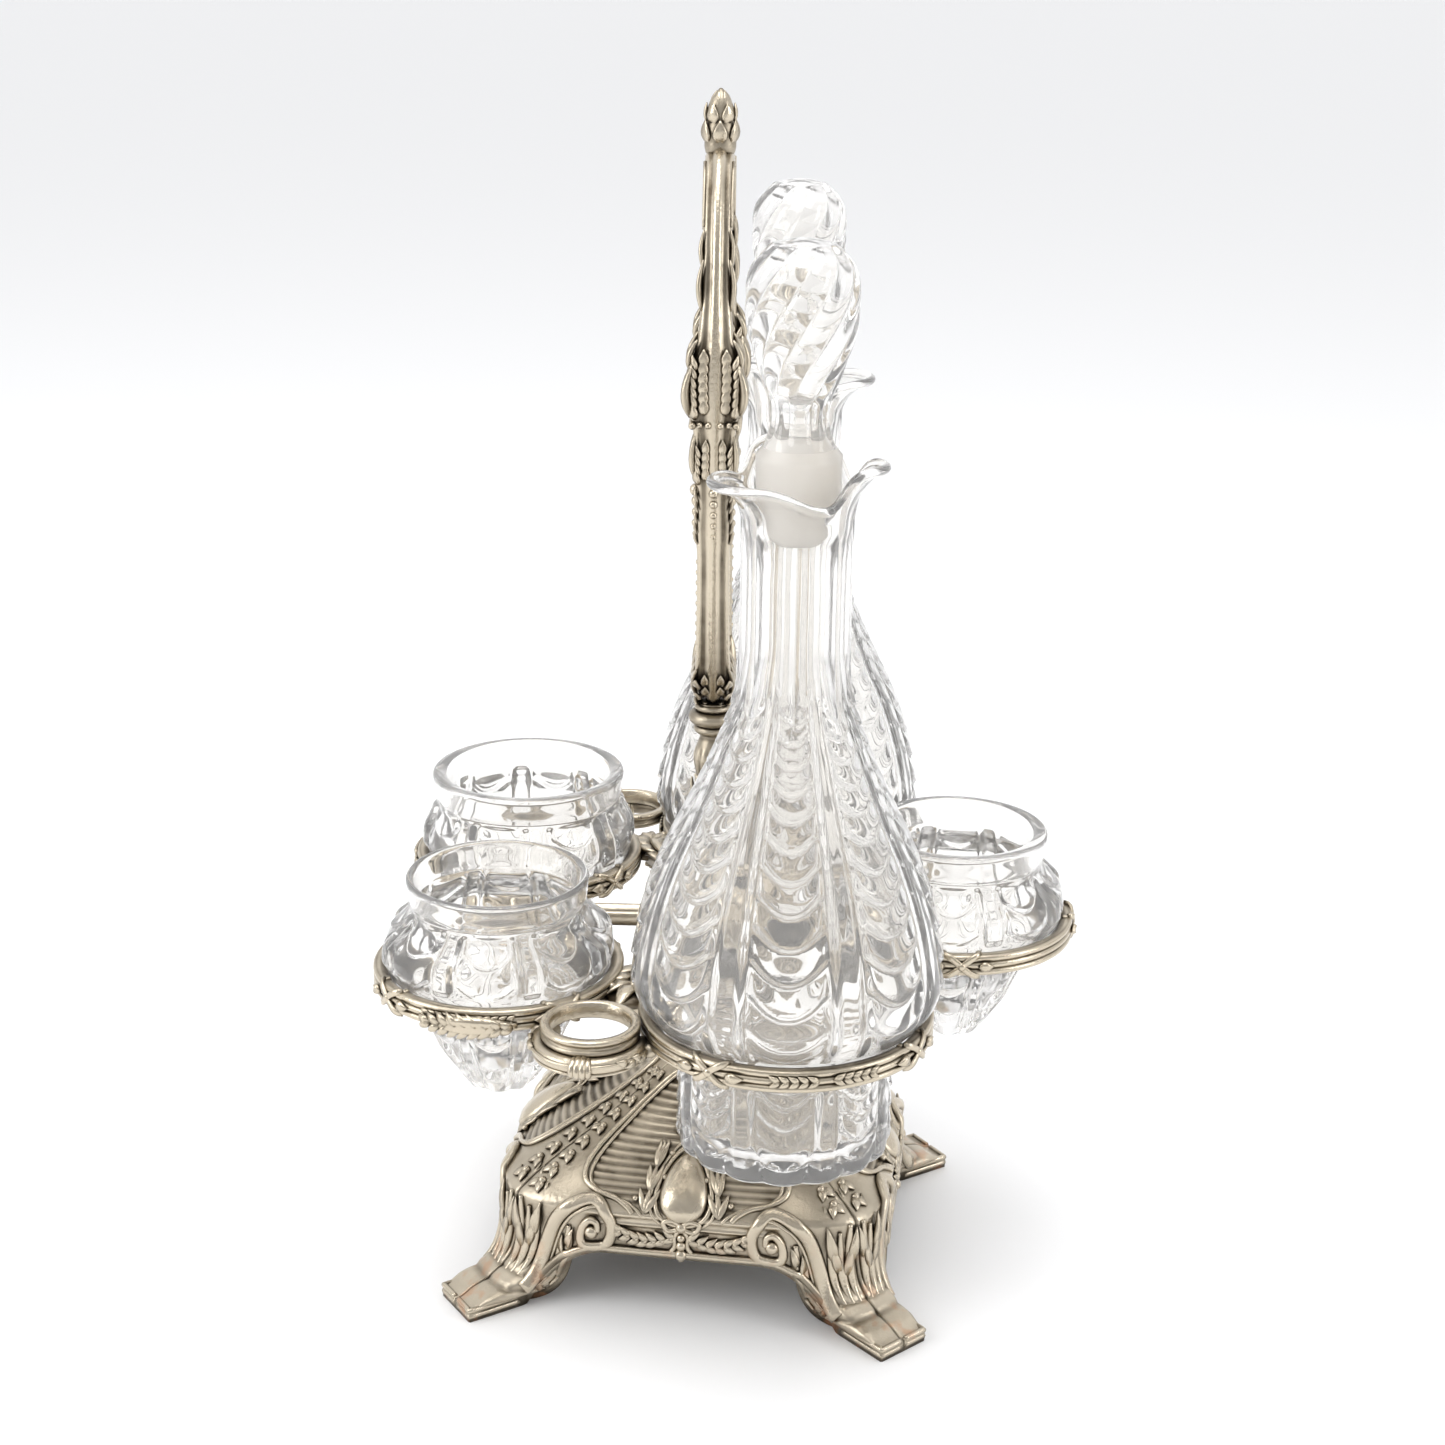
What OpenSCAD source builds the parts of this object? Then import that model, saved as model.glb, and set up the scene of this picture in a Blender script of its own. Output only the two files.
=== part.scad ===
// Table cruet set: an ornate cast stand on four splayed feet, a five-place ring tray,
// a tall loop handle, two stoppered bottles and three open cups.
// Origin: stem axis at table level. +Z up, front is -Y (the side of the single cup).

/* [Base] */
// Half size of the base body across its left and right faces
base_half_x = 48; // [42:0.5:60]
// Half size of the base body across its front and back faces
base_half_y = 55; // [46:0.5:66]
// Height of the flat top that carries the column
base_top_z = 60; // [55:0.5:72]
// Height where the roof meets the upright band
band_top_z = 31; // [28:0.5:36]
// Height of the lower edge of the band between two feet
band_low_z = 18; // [13:0.5:22]
// Thickness of the cast base wall
base_wall = 2.6; // [2:0.1:4]
// How far a toe reaches out past the corner of the band
toe_reach = 20; // [12:0.5:26]
// Width of a toe across its end
toe_w = 16.8; // [12:0.2:20]
// Height of the toe pad at its end
toe_h = 3.5; // [2.5:0.1:5]
// Turn of the base against the tray, seen from above
base_turn = -7; // [-15:1:15]

/* [Column and rod] */
// Radius of the long threaded rod that holds the stand together
rod_r = 2.4; // [1.8:0.1:3]
// Clearance of the rod in the bores that it passes
rod_clear = 0.15; // [0.1:0.05:0.4]
// Height of the column between base and hub
column_h = 36; // [28:0.5:50]
// Greatest radius of the column bulb
column_bulb_r = 9; // [7.5:0.1:11]
// Radius of the hub belt where the arms butt
hub_belt_r = 15; // [12:0.5:18]

/* [Tray] */
// Distance of the five places from the stem axis
place_r = 69; // [66:0.5:84]
// Height of the top face of the rings
ring_top_z = 105.5; // [100:0.5:125]
// Height of a ring
ring_h = 6; // [5:0.1:8]
// Outer radius of a bottle ring
bottle_ring_r = 38.2; // [36.5:0.1:40]
// Outer radius of a cup ring
cup_ring_r = 33.6; // [32:0.1:36]
// Radial width of a ring
ring_w = 4.7; // [3.8:0.1:5.6]
// Radial gap between the glass and its ring
seat_gap = 0.3; // [0.3:0.05:0.6]
// Outer radius of a stopper rest
rest_r = 12.9; // [12.2:0.1:14]
// Bore radius of a stopper rest
rest_bore_r = 10.4; // [9.4:0.1:11]
// Height of a stopper rest ring
rest_h = 4.6; // [3.5:0.1:6]
// Radius of the bar under a stopper rest
bar_r = 2.4; // [1.8:0.1:2.8]

/* [Handle] */
// Overall height of the stand
overall_h = 330; // [300:1:400]
// Half width of the handle loop at its centre line
loop_half_w = 24; // [20:0.5:30]
// Thickness of the loop from front to back
loop_t = 9; // [6:0.5:10]
// Width of the loop's band seen from the front
loop_band = 7; // [5:0.5:9]

/* [Bottles] */
// Outer radius of the cylindrical lower part
bottle_foot_r = 28.3; // [26:0.1:30]
// Outer radius of the bulge above the ring
bulge_r = 39.7; // [38:0.1:41]
// Height of the bottle from its bottom to its lip
bottle_h = 182.4; // [165:0.2:220]
// Depth of the foot below the top face of the ring
bottle_drop = 38.3; // [30:0.1:45]
// Outer radius of the neck
neck_r = 13.8; // [12.6:0.1:16]
// Wall thickness of the bottle body
bottle_wall = 3.2; // [2.4:0.1:4.5]
// Outer radius of the flared lip
lip_r = 23; // [20:0.1:26]

/* [Stoppers] */
// Radius of the ground plug at its top
plug_r = 10.45; // [9:0.05:11]
// Radial clearance of the plug in the neck
plug_clear = 0.3; // [0.3:0.05:0.6]
// Length of the plug
plug_h = 22; // [18:0.5:28]
// Height of the stopper above the plug
head_h = 51; // [42:0.5:60]
// Greatest radius of the pear-shaped head
head_r = 13.4; // [11:0.1:15]

/* [Cups] */
// Height of a cup
cup_h = 61; // [50:0.5:75]
// Depth of a cup below the top face of the ring
cup_drop = 36.3; // [28:0.1:44]
// Rim radius of the back left cup
rim_back_left = 24.3; // [21:0.1:30]
// Rim radius of the back right cup
rim_back_right = 28.4; // [24:0.1:32]
// Rim radius of the front cup
rim_front = 25.3; // [22:0.1:30]
// Wall of the thin back left cup at the rim
rim_wall_thin = 1.9; // [1.4:0.1:2.6]
// Wall of the two thick cups at the rim
rim_wall_thick = 4; // [3:0.1:5]

/* [Hidden] */

metal = [0.66, 0.63, 0.57];
metal_dark = [0.52, 0.49, 0.43];
glass = [0.86, 0.89, 0.9, 0.45];
frosted = [0.92, 0.93, 0.93, 0.6];
turned = 96;
plain = 48;

// places around the tray, as angles from +X
front_angle = -90;
place_step = 72;
bottle_right_angle = front_angle + place_step;
bottle_left_angle = front_angle - place_step;
cup_right_angle = front_angle + 2 * place_step;
cup_left_angle = front_angle - 2 * place_step;

// heights
washer_h = 2;
washer_r = 0.2 * min(base_half_x, base_half_y);
nut_h = 5;
roof_pad = 3.5;
hub_z = base_top_z + column_h;
ring_z = ring_top_z - ring_h;
hub_h = 22;
belt_z = ring_z - 2;
belt_h = 7;
stem_z = hub_z + hub_h;
knop_z = overall_h - 173.5;
knop_h = 9.5;
loop_z = knop_z + knop_h;
finial_h = 14;
loop_top_z = overall_h - finial_h;
rod_top_z = stem_z + 9;
rod_low_z = base_top_z - roof_pad - washer_h - nut_h - 2;
bottle_z = ring_top_z - bottle_drop;
lip_z = bottle_z + bottle_h;
plug_top_z = lip_z + 0.6;
cup_z = ring_top_z - cup_drop;

// seats: the inner top edge of each ring is a cone that the glass follows
seat_slope = 0.88;
seat_h = 2.5;
bottle_seat_r = bottle_ring_r - ring_w;
cup_seat_r = cup_ring_r - ring_w;

function polar(r, a) = [r * cos(a), r * sin(a)];
function bottle_at(side) = polar(place_r, side < 0 ? bottle_left_angle : bottle_right_angle);
function cup_at(side) = polar(place_r, side < 0 ? cup_left_angle : cup_right_angle);
function angle_of(v) = atan2(v[1], v[0]);
function mix(p, q, f) = p + (q - p) * f;

// middle of the gap between two rings, on the line of their centres
function gap_point(c1, r1, c2, r2) =
    let (d = norm(c2 - c1), g = d - r1 - r2) c1 + (c2 - c1) * (r1 + g / 2) / d;

// centre of a circle that lies against two others, on the outer side of the tray
function nested_centre(c1, d1, c2, d2, side) =
    let (v = c2 - c1, d = norm(v), along = (d1 * d1 - d2 * d2 + d * d) / (2 * d),
         across = sqrt(d1 * d1 - along * along), u = v / d)
    c1 + u * along + [-u[1], u[0]] * across * -side;

rest_gap = 0.1;
function rest_at(side) = nested_centre(
    bottle_at(side), bottle_ring_r + rest_r + rest_gap,
    cup_at(side), cup_ring_r + rest_r + rest_gap, side);

// smooth curve through a few points, as a chain of short segments
function spline_point(p0, p1, p2, p3, t) =
    0.5 * ((2 * p1) + (p2 - p0) * t + (2 * p0 - 5 * p1 + 4 * p2 - p3) * t * t
    + (3 * p1 - p0 - 3 * p2 + p3) * t * t * t);
function spline(pts, steps) = [
    for (i = [0 : len(pts) - 2])
        for (s = [0 : steps - 1])
            spline_point(pts[max(i - 1, 0)], pts[i], pts[i + 1],
                         pts[min(i + 2, len(pts) - 1)], s / steps),
    pts[len(pts) - 1]
];

// ---------- base: four cast panels, mitred along the diagonals ----------

// plan section of the body: a superellipse, round at the top and square at the band
function section_n(f) = 2.1 + 2.9 * pow(f, 3);
function roof_r(f) = mix(0.2, 1, f);
function roof_z(f) =
    let (l = roof_r(f)) band_top_z + (base_top_z - band_top_z) * pow(1 - (l - 0.2) / 0.8, 0.78);

// one point of a panel in its own frame: d outward from the stem, u along the face
function body_point(half_d, half_u, q, n) =
    let (k = pow(2, -1 / n), s = abs(q) * k)
    [half_d * pow(1 - pow(s, n), 1 / n), half_u * k * q];

// where the legs begin and end along the lower edge of a panel, as shares of its half
arch_q = 0.45;
toe_in_q = 0.68;
toe_out_q = 0.86;
toe_len = 18;

// share of the outer plan that is left inside a wall
function inside_share(inset) = 1 - inset / min(base_half_x, base_half_y);

// lower edge of a panel: band, arch, side of the toe and half of its end
function low_point(half_d, half_u, q, inset) =
    let (m = abs(q), diag = [half_d, half_u] / norm([half_d, half_u]),
         side = [diag[1], -diag[0]], corner_r = norm(body_point(half_d, half_u, 1, 5)),
         end_c = diag * (corner_r + toe_reach), half_w = toe_w / 2 - inset,
         toe_out = end_c + side * half_w,
         toe_in = end_c + side * half_w - diag * toe_len,
         k = inside_share(inset), arch = body_point(half_d * k, half_u * k, arch_q, 5),
         e = (m - arch_q) / (toe_in_q - arch_q),
         back = end_c - diag * toe_len)
    m <= arch_q ? concat(body_point(half_d * k, half_u * k, m, 5), band_low_z)
    : m <= toe_in_q ? [mix(arch[0], toe_in[0], e), mix(arch[1], toe_in[1], e),
                       band_low_z * (1 - pow(e, 2.2))]
    : inset > 0 ? concat(mix(toe_in, back, (m - toe_in_q) / (1 - toe_in_q)), 0)
    : m <= toe_out_q ? concat(mix(toe_in, toe_out, (m - toe_in_q) / (toe_out_q - toe_in_q)), 0)
    : concat(mix(toe_out, end_c, (m - toe_out_q) / (1 - toe_out_q)), 0);

// upright part of a panel, from the roof edge down to the lower edge
function band_point(half_d, half_u, q, p, inset, drop) =
    let (m = abs(q), k = inside_share(inset), top = body_point(half_d * k, half_u * k, m, 5),
         low = low_point(half_d, half_u, q, inset),
         leg = min(1, max(0, (m - arch_q) / (toe_in_q - arch_q))),
         out = pow(1 - cos(90 * p), 1.6), fall = mix(p, sin(90 * p), leg),
         edge = mix(2, toe_h, leg), z_top = band_top_z - drop)
    [mix(top[0], low[0], mix(p, out, leg)), mix(top[1], low[1], mix(p, out, leg)),
     mix(z_top, low[2] + (inset > 0 ? 0 : edge), fall)];

roof_steps = 9;
band_steps = 7;
face_shares = [0, 0.15, 0.3, 0.45, 0.53, 0.61, 0.68, 0.77, 0.86, 0.93, 1];
face_q = concat([for (i = [len(face_shares) - 1 : -1 : 1]) -face_shares[i]], face_shares);

function with_sign(p, q) = [p[0], p[1] * (q < 0 ? -1 : 1), p[2]];

function outer_column(half_d, half_u, q) = concat(
    [for (i = [0 : roof_steps - 1])
        let (f = i / roof_steps, l = roof_r(f), b = body_point(half_d * l, half_u * l, q, section_n(f)))
        [b[0], b[1], roof_z(f)]],
    [for (i = [0 : band_steps])
        with_sign(band_point(half_d, half_u, q, i / band_steps, 0, 0), q)],
    [with_sign(low_point(half_d, half_u, q, 0), q)]);

// flat pad around the hole in the top, where the washer bears, as shares of the plan
pad_inner = 0.145;
pad_outer = 0.235;
roof_inset = 0.055;

// share of the plan and height of the inside of the roof
function inner_roof(i) =
    i == 0 ? [pad_inner, base_top_z]
    : i <= 2 ? [i == 1 ? pad_inner : pad_outer, base_top_z - roof_pad]
    : [roof_r(i / roof_steps) - roof_inset, roof_z(i / roof_steps) - base_wall * 0.8];

function inner_column(half_d, half_u, q) = concat(
    [for (i = [0 : roof_steps - 1])
        let (p = inner_roof(i), n = section_n(i < 2 ? 0 : i / roof_steps),
             b = body_point(half_d * p[0], half_u * p[0], q, n))
        [b[0], b[1], p[1]]],
    [for (i = [0 : band_steps])
        with_sign(band_point(half_d, half_u, q, i / band_steps, base_wall, base_wall), q)],
    [with_sign(low_point(half_d, half_u, q, base_wall), q)]);

// closed sheet between an outer and an inner grid of points
module sheet(outer, inner) {
    cols = len(outer);
    rows = len(outer[0]);
    shift = cols * rows;
    points = concat([for (c = outer) each c], [for (c = inner) each c]);
    function at(i, j) = i * rows + j;
    faces = concat(
        [for (i = [0 : cols - 2]) for (j = [0 : rows - 2]) each [
            [at(i, j), at(i, j + 1), at(i + 1, j + 1)],
            [at(i, j), at(i + 1, j + 1), at(i + 1, j)],
            [shift + at(i, j), shift + at(i + 1, j + 1), shift + at(i, j + 1)],
            [shift + at(i, j), shift + at(i + 1, j), shift + at(i + 1, j + 1)]]],
        [for (i = [0 : cols - 2]) each [
            [at(i, 0), at(i + 1, 0), shift + at(i + 1, 0)],
            [at(i, 0), shift + at(i + 1, 0), shift + at(i, 0)],
            [at(i, rows - 1), shift + at(i + 1, rows - 1), at(i + 1, rows - 1)],
            [at(i, rows - 1), shift + at(i, rows - 1), shift + at(i + 1, rows - 1)]]],
        [for (j = [0 : rows - 2]) each [
            [at(0, j), shift + at(0, j + 1), at(0, j + 1)],
            [at(0, j), shift + at(0, j), shift + at(0, j + 1)],
            [at(cols - 1, j), at(cols - 1, j + 1), shift + at(cols - 1, j + 1)],
            [at(cols - 1, j), shift + at(cols - 1, j + 1), shift + at(cols - 1, j)]]]);
    polyhedron(points, faces);
}

module base_panel(half_d, half_u, turn) {
    color(metal)
    rotate(base_turn + turn)
    sheet([for (q = face_q) outer_column(half_d, half_u, q)],
          [for (q = face_q) inner_column(half_d, half_u, q)]);
}

module base_panel_right() { base_panel(base_half_x, base_half_y, 0); }
module base_panel_back() { base_panel(base_half_y, base_half_x, 90); }
module base_panel_left() { base_panel(base_half_x, base_half_y, 180); }
module base_panel_front() { base_panel(base_half_y, base_half_x, 270); }

module bore(z0, z1) {
    translate([0, 0, z0 - 1])
    cylinder(h = z1 - z0 + 2, r = rod_r + rod_clear, $fn = plain);
}

module base_washer() {
    washer_z = base_top_z - roof_pad - washer_h;
    color(metal_dark)
    difference() {
        translate([0, 0, washer_z]) cylinder(h = washer_h, r = washer_r, $fn = plain);
        bore(washer_z, washer_z + washer_h);
    }
}

module tie_nut() {
    nut_z = base_top_z - roof_pad - washer_h - nut_h;
    color(metal_dark)
    difference() {
        translate([0, 0, nut_z]) cylinder(h = nut_h, r = 6, $fn = 6);
        bore(nut_z, nut_z + nut_h);
    }
}

module tie_rod() {
    color(metal_dark)
    translate([0, 0, rod_low_z])
    cylinder(h = rod_top_z - rod_low_z, r = rod_r, $fn = plain);
}

// ---------- column, hub and arms ----------

module column() {
    outline = concat([[0, 0], [11.5, 0], [11.5, 1.6]],
        spline([[10.4, 2.6], [6.4, 5], [5.6, 8], [column_bulb_r, column_h * 0.42],
                [6.2, column_h * 0.64], [4.9, column_h * 0.78], [6.4, column_h - 4.4],
                [9.6, column_h - 2.4]], 5),
        [[10.4, column_h - 1.6], [10.4, column_h], [0, column_h]]);
    color(metal)
    difference() {
        translate([0, 0, base_top_z]) rotate_extrude($fn = turned) polygon(outline);
        bore(base_top_z, base_top_z + column_h);
    }
}

module tray_hub() {
    belt_low = belt_z - hub_z;
    outline = concat([[0, 0], [10.4, 0]],
        [[hub_belt_r, belt_low], [hub_belt_r, belt_low + belt_h]],
        spline([[hub_belt_r - 1.4, belt_low + belt_h + 1.2], [10.5, belt_low + belt_h + 3.6],
                [6, hub_h - 6], [4.6, hub_h - 3], [5.6, hub_h - 1]], 5),
        [[5.6, hub_h], [0, hub_h]]);
    color(metal)
    difference() {
        translate([0, 0, hub_z]) rotate_extrude($fn = turned) polygon(outline);
        bore(hub_z, hub_z + hub_h);
    }
}

arm_w = 6.5;
arm_z = ring_z - 0.5;
arm_h = 5;
leaf_lap = 4.5;
drop_h = 6;

// an arm runs from the hub to the gap between two rings and ends in a leaf bracket
module tray_arm(c1, r1, c2, r2) {
    g = gap_point(c1, r1, c2, r2);
    reach = norm(g);
    leaf_half = (norm(c2 - c1) - r1 - r2) / 2 + leaf_lap;
    color(metal)
    difference() {
        rotate(angle_of(g)) {
            translate([0, -arm_w / 2, arm_z]) cube([reach, arm_w, arm_h]);
            translate([0, 0, arm_z])
            linear_extrude(arm_h)
            polygon([[reach - 16, 0], [reach - 9, leaf_half], [reach, leaf_half],
                     [reach + 6, 5.5], [reach + 10, 0], [reach + 6, -5.5],
                     [reach, -leaf_half], [reach - 9, -leaf_half]]);
            translate([0, 0, arm_z - drop_h])
            linear_extrude(drop_h)
            polygon([[reach - 10, 0], [reach - 5, 5], [reach + 2, 5], [reach + 6, 0],
                     [reach + 2, -5], [reach - 5, -5]]);
        }
        translate([0, 0, hub_z]) cylinder(h = hub_h, r = hub_belt_r, $fn = turned);
        place_cut(c1, r1);
        place_cut(c2, r2);
        for (side = [-1, 1])
            place_cut(rest_at(side), rest_r + rest_gap);
    }
}

module place_cut(c, r) {
    translate([c[0], c[1], ring_z - 20]) cylinder(h = 40, r = r, $fn = turned);
}

front_at = polar(place_r, front_angle);
module tray_arm_front_left() { tray_arm(bottle_at(-1), bottle_ring_r, front_at, cup_ring_r); }
module tray_arm_front_right() { tray_arm(bottle_at(1), bottle_ring_r, front_at, cup_ring_r); }
module tray_arm_left() { tray_arm(bottle_at(-1), bottle_ring_r, cup_at(-1), cup_ring_r); }
module tray_arm_right() { tray_arm(bottle_at(1), bottle_ring_r, cup_at(1), cup_ring_r); }
module tray_arm_back() { tray_arm(cup_at(-1), cup_ring_r, cup_at(1), cup_ring_r); }

// ---------- rings ----------

// reeded ring: an upright web, two round reeds outside and a conical seat inside
module ring(centre, outer_r) {
    reed = ring_h / 4;
    inner_r = outer_r - ring_w;
    color(metal)
    translate([centre[0], centre[1], ring_z])
    rotate_extrude($fn = turned) {
        polygon([[inner_r, 0], [outer_r - reed, 0], [outer_r - reed, ring_h],
                 [inner_r + seat_h * seat_slope, ring_h], [inner_r, ring_h - seat_h]]);
        for (z = [reed, 3 * reed])
            intersection() {
                translate([outer_r - reed, z]) circle(r = reed, $fn = 32);
                translate([outer_r - reed, z - reed]) square([2 * reed, 2 * reed]);
            }
    }
}

// ring with a socket that takes one end of the bar under the stopper rest
module socket_ring(centre, outer_r, side) {
    color(metal)
    difference() {
        ring(centre, outer_r);
        bar_arc(side, angle_of(rest_at(side)), bar_span, bar_r);
    }
}

module bottle_ring_left() { socket_ring(bottle_at(-1), bottle_ring_r, -1); }
module bottle_ring_right() { socket_ring(bottle_at(1), bottle_ring_r, 1); }
module cup_ring_front() { ring(front_at, cup_ring_r); }
module cup_ring_back_left() { socket_ring(cup_at(-1), cup_ring_r, -1); }
module cup_ring_back_right() { socket_ring(cup_at(1), cup_ring_r, 1); }

// ---------- stopper rests ----------

rest_z = ring_top_z - rest_h + 0.3;
bar_clear = 0.2;
bar_path_r = rest_bore_r + bar_r + bar_clear;
bar_flat = 0.6;
bar_z = rest_z - bar_r + bar_flat;
bar_span = 220;
clasp_turn = 14;
clasp_span = 20;
clasp_t = 1;

module stopper_rest(side) {
    c = rest_at(side);
    color(metal)
    difference() {
        translate([c[0], c[1], rest_z]) cylinder(h = rest_h, r = rest_r, $fn = turned);
        translate([c[0], c[1], rest_z - 1]) cylinder(h = rest_h + 2, r = rest_bore_r, $fn = turned);
    }
}

// sweep of a section around the outside of a rest, the section being centred on the bar
module around_rest(side, middle, span) {
    c = rest_at(side);
    translate([c[0], c[1], bar_z])
    rotate(middle - span / 2)
    rotate_extrude(angle = span, $fn = turned)
    translate([bar_path_r, 0])
    children();
}

// round section that is flat where the rest sits on it
module bar_section(r) {
    intersection() {
        circle(r = r, $fn = 32);
        translate([-10, rest_z - bar_z - 20]) square([20, 20]);
    }
}

module bar_arc(side, middle, span, r) {
    around_rest(side, middle, span) bar_section(r);
}

// round bar that loops around the outside of the rest
module rest_bar(side) {
    color(metal)
    bar_arc(side, angle_of(rest_at(side)), bar_span, bar_r);
}

// raised clasp on the outer half of the bar
module rest_clasp(side) {
    color(metal)
    around_rest(side, angle_of(rest_at(side)) - side * clasp_turn, clasp_span)
    difference() {
        bar_section(bar_r + clasp_t);
        circle(r = bar_r, $fn = 32);
        translate([-20, -10]) square([20, 20]);
    }
}

// acanthus leaf that lies along the cup ring next to the rest
module rest_leaf(side) {
    c = cup_at(side);
    to_rest = angle_of(rest_at(side) - c);
    start = side < 0 ? to_rest - 62 : to_rest + 22;
    color(metal)
    translate([c[0], c[1], ring_z - 2])
    rotate(start)
    rotate_extrude(angle = 40, $fn = turned)
    polygon([[cup_ring_r, 0], [cup_ring_r + 2.5, 0], [cup_ring_r + 4.5, 3.5],
             [cup_ring_r + 2.5, ring_h], [cup_ring_r, ring_h]]);
}

module stopper_rest_left() { stopper_rest(-1); }
module stopper_rest_right() { stopper_rest(1); }
module rest_bar_left() { rest_bar(-1); }
module rest_bar_right() { rest_bar(1); }
module rest_clasp_left() { rest_clasp(-1); }
module rest_clasp_right() { rest_clasp(1); }
module rest_leaf_left() { rest_leaf(-1); }
module rest_leaf_right() { rest_leaf(1); }

// ---------- handle ----------

module handle_stem() {
    h = knop_z - stem_z;
    outline = concat([[0, 0], [5.6, 0], [5.6, 1]],
        spline([[4.4, 3], [3.8, 8], [3.5, h - 16], [4.2, h - 13.5], [5.4, h - 7],
                [4.2, h - 2.5], [3.6, h - 1]], 5),
        [[3.6, h], [0, h]]);
    color(metal)
    difference() {
        translate([0, 0, stem_z]) rotate_extrude($fn = turned) polygon(outline);
        bore(stem_z, rod_top_z - 1);
    }
}

module handle_knop() {
    color(metal)
    translate([0, 0, knop_z])
    rotate_extrude($fn = turned)
    polygon(concat([[0, 0], [4, 0], [5.2, 1.2], [5.2, 2.6]],
        [for (a = [-60 : 15 : 60]) [5 + 1.8 * cos(a), 5.4 + 2.2 * sin(a)]],
        [[5.2, 8.2], [4.6, knop_h], [0, knop_h]]));
}

// centre line of one side of the loop, t from 0 at the foot to 180 at the top
loop_mid_z = (loop_z + loop_top_z) / 2;
loop_half_h = (loop_top_z - loop_z) / 2 - loop_band / 2;
function loop_point(t, grow) =
    [(loop_half_w + grow) * pow(sin(t), 0.9) * (1 - 0.16 * cos(t)),
     loop_mid_z - (loop_half_h + grow) * cos(t)];
function loop_outline(grow) = concat(
    [for (t = [0 : 5 : 180]) loop_point(t, grow)],
    [for (t = [175 : -5 : 5]) let (p = loop_point(t, grow)) [-p[0], p[1]]]);

boss_t = 104;
boss_r = 7;

module handle_loop() {
    boss = loop_point(boss_t, 0);
    color(metal)
    intersection() {
        union() {
            rotate([90, 0, 0])
            linear_extrude(loop_t, center = true)
            difference() {
                union() {
                    polygon(loop_outline(loop_band / 2));
                    translate([-4.6, loop_z]) square([9.2, 12]);
                    translate([-4, loop_top_z - 8]) square([8, 8]);
                }
                polygon(loop_outline(-loop_band / 2));
            }
            for (s = [-1, 1])
                translate([s * boss[0], 0, boss[1]]) sphere(r = boss_r, $fn = plain);
        }
        translate([-60, -20, loop_z]) cube([120, 40, loop_top_z - loop_z]);
    }
}

module handle_finial() {
    color(metal)
    translate([0, 0, loop_top_z])
    rotate_extrude($fn = turned)
    polygon(concat([[0, 0], [3.6, 0]],
        spline([[3.6, 0.6], [4.3, 3.4], [3.9, 6.5], [4, 8.5], [2.6, 11.6], [0.9, finial_h - 0.3]], 4),
        [[0, finial_h]]));
}

// ---------- glass ----------

// point of the conical seat that a glass keeps its gap to, dz above the seat's foot
function seat_point(seat_r, dz) = [seat_r - seat_gap + dz * seat_slope, ring_top_z - seat_h + dz];

module bottle(c) {
    foot_dz = (bottle_foot_r - bottle_seat_r + seat_gap) / seat_slope;
    seat_top = seat_point(bottle_seat_r, seat_h + 0.8);
    body_h = lip_z - 12 - seat_top[1];
    bore_r = plug_r + plug_clear;
    body = [[bulge_r - 0.6, 0.05], [bulge_r, 0.093], [bulge_r - 2.7, 0.21], [bulge_r - 7.5, 0.317],
            [bulge_r - 14, 0.421], [neck_r + 5.9, 0.524], [neck_r + 1.5, 0.624],
            [neck_r, 0.725], [neck_r, 1]];
    outer = concat(
        [[0, bottle_z], [bottle_foot_r - 2, bottle_z], [bottle_foot_r - 0.4, bottle_z + 0.9],
         [bottle_foot_r, bottle_z + 2.4], seat_point(bottle_seat_r, foot_dz)],
        spline(concat([seat_top], [for (p = body) [p[0], seat_top[1] + body_h * p[1]]]), 5),
        spline([[neck_r + 1.4, lip_z - 8.4], [neck_r + 4.8, lip_z - 4.2], [lip_r, lip_z - 1.9]], 4));
    inner = concat(
        [[lip_r - 0.3, lip_z]],
        spline([[17.5, lip_z - 2.4], [13, lip_z - 5.8], [bore_r + 0.5, lip_z - 8.8]], 4),
        [[bore_r, plug_top_z - 12], [bore_r - 1.5, plug_top_z - 20.5], [bore_r - 1.9, plug_top_z - plug_h - 4]],
        spline(concat([[bore_r - 1.9, lip_z - 49]],
            [for (i = [6 : -1 : 1]) [body[i][0] - bottle_wall, seat_top[1] + body_h * body[i][1]]],
            [[seat_top[0] - bottle_wall, seat_top[1] + 1],
             [bottle_foot_r - bottle_wall, ring_top_z - seat_h + foot_dz - 2]]), 5),
        [[bottle_foot_r - bottle_wall, bottle_z + 9], [bottle_foot_r - bottle_wall - 2.2, bottle_z + 6.4],
         [0, bottle_z + 6]]);
    color(glass)
    translate([c[0], c[1], 0])
    rotate_extrude($fn = turned)
    polygon(concat(outer, inner));
}

module stopper(c) {
    base = plug_top_z - plug_h;
    outline = concat([[0, base]],
        [for (a = [-75 : 15 : 0]) [plug_r - 4.2 + 2.4 * cos(a), base + 2.4 + 2.4 * sin(a)]],
        [[plug_r - 0.2, plug_top_z - 12], [plug_r, plug_top_z]],
        spline([[plug_r - 1.6, plug_top_z + 1.8], [7.4, plug_top_z + 7], [7.2, plug_top_z + 12],
                [head_r - 4, plug_top_z + head_h * 0.4], [head_r, plug_top_z + head_h * 0.73],
                [head_r * 0.8, plug_top_z + head_h * 0.93]], 5),
        [[head_r * 0.42, plug_top_z + head_h * 0.992], [0, plug_top_z + head_h]]);
    color(frosted)
    translate([c[0], c[1], 0])
    rotate_extrude($fn = turned)
    polygon(outline);
}

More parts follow.
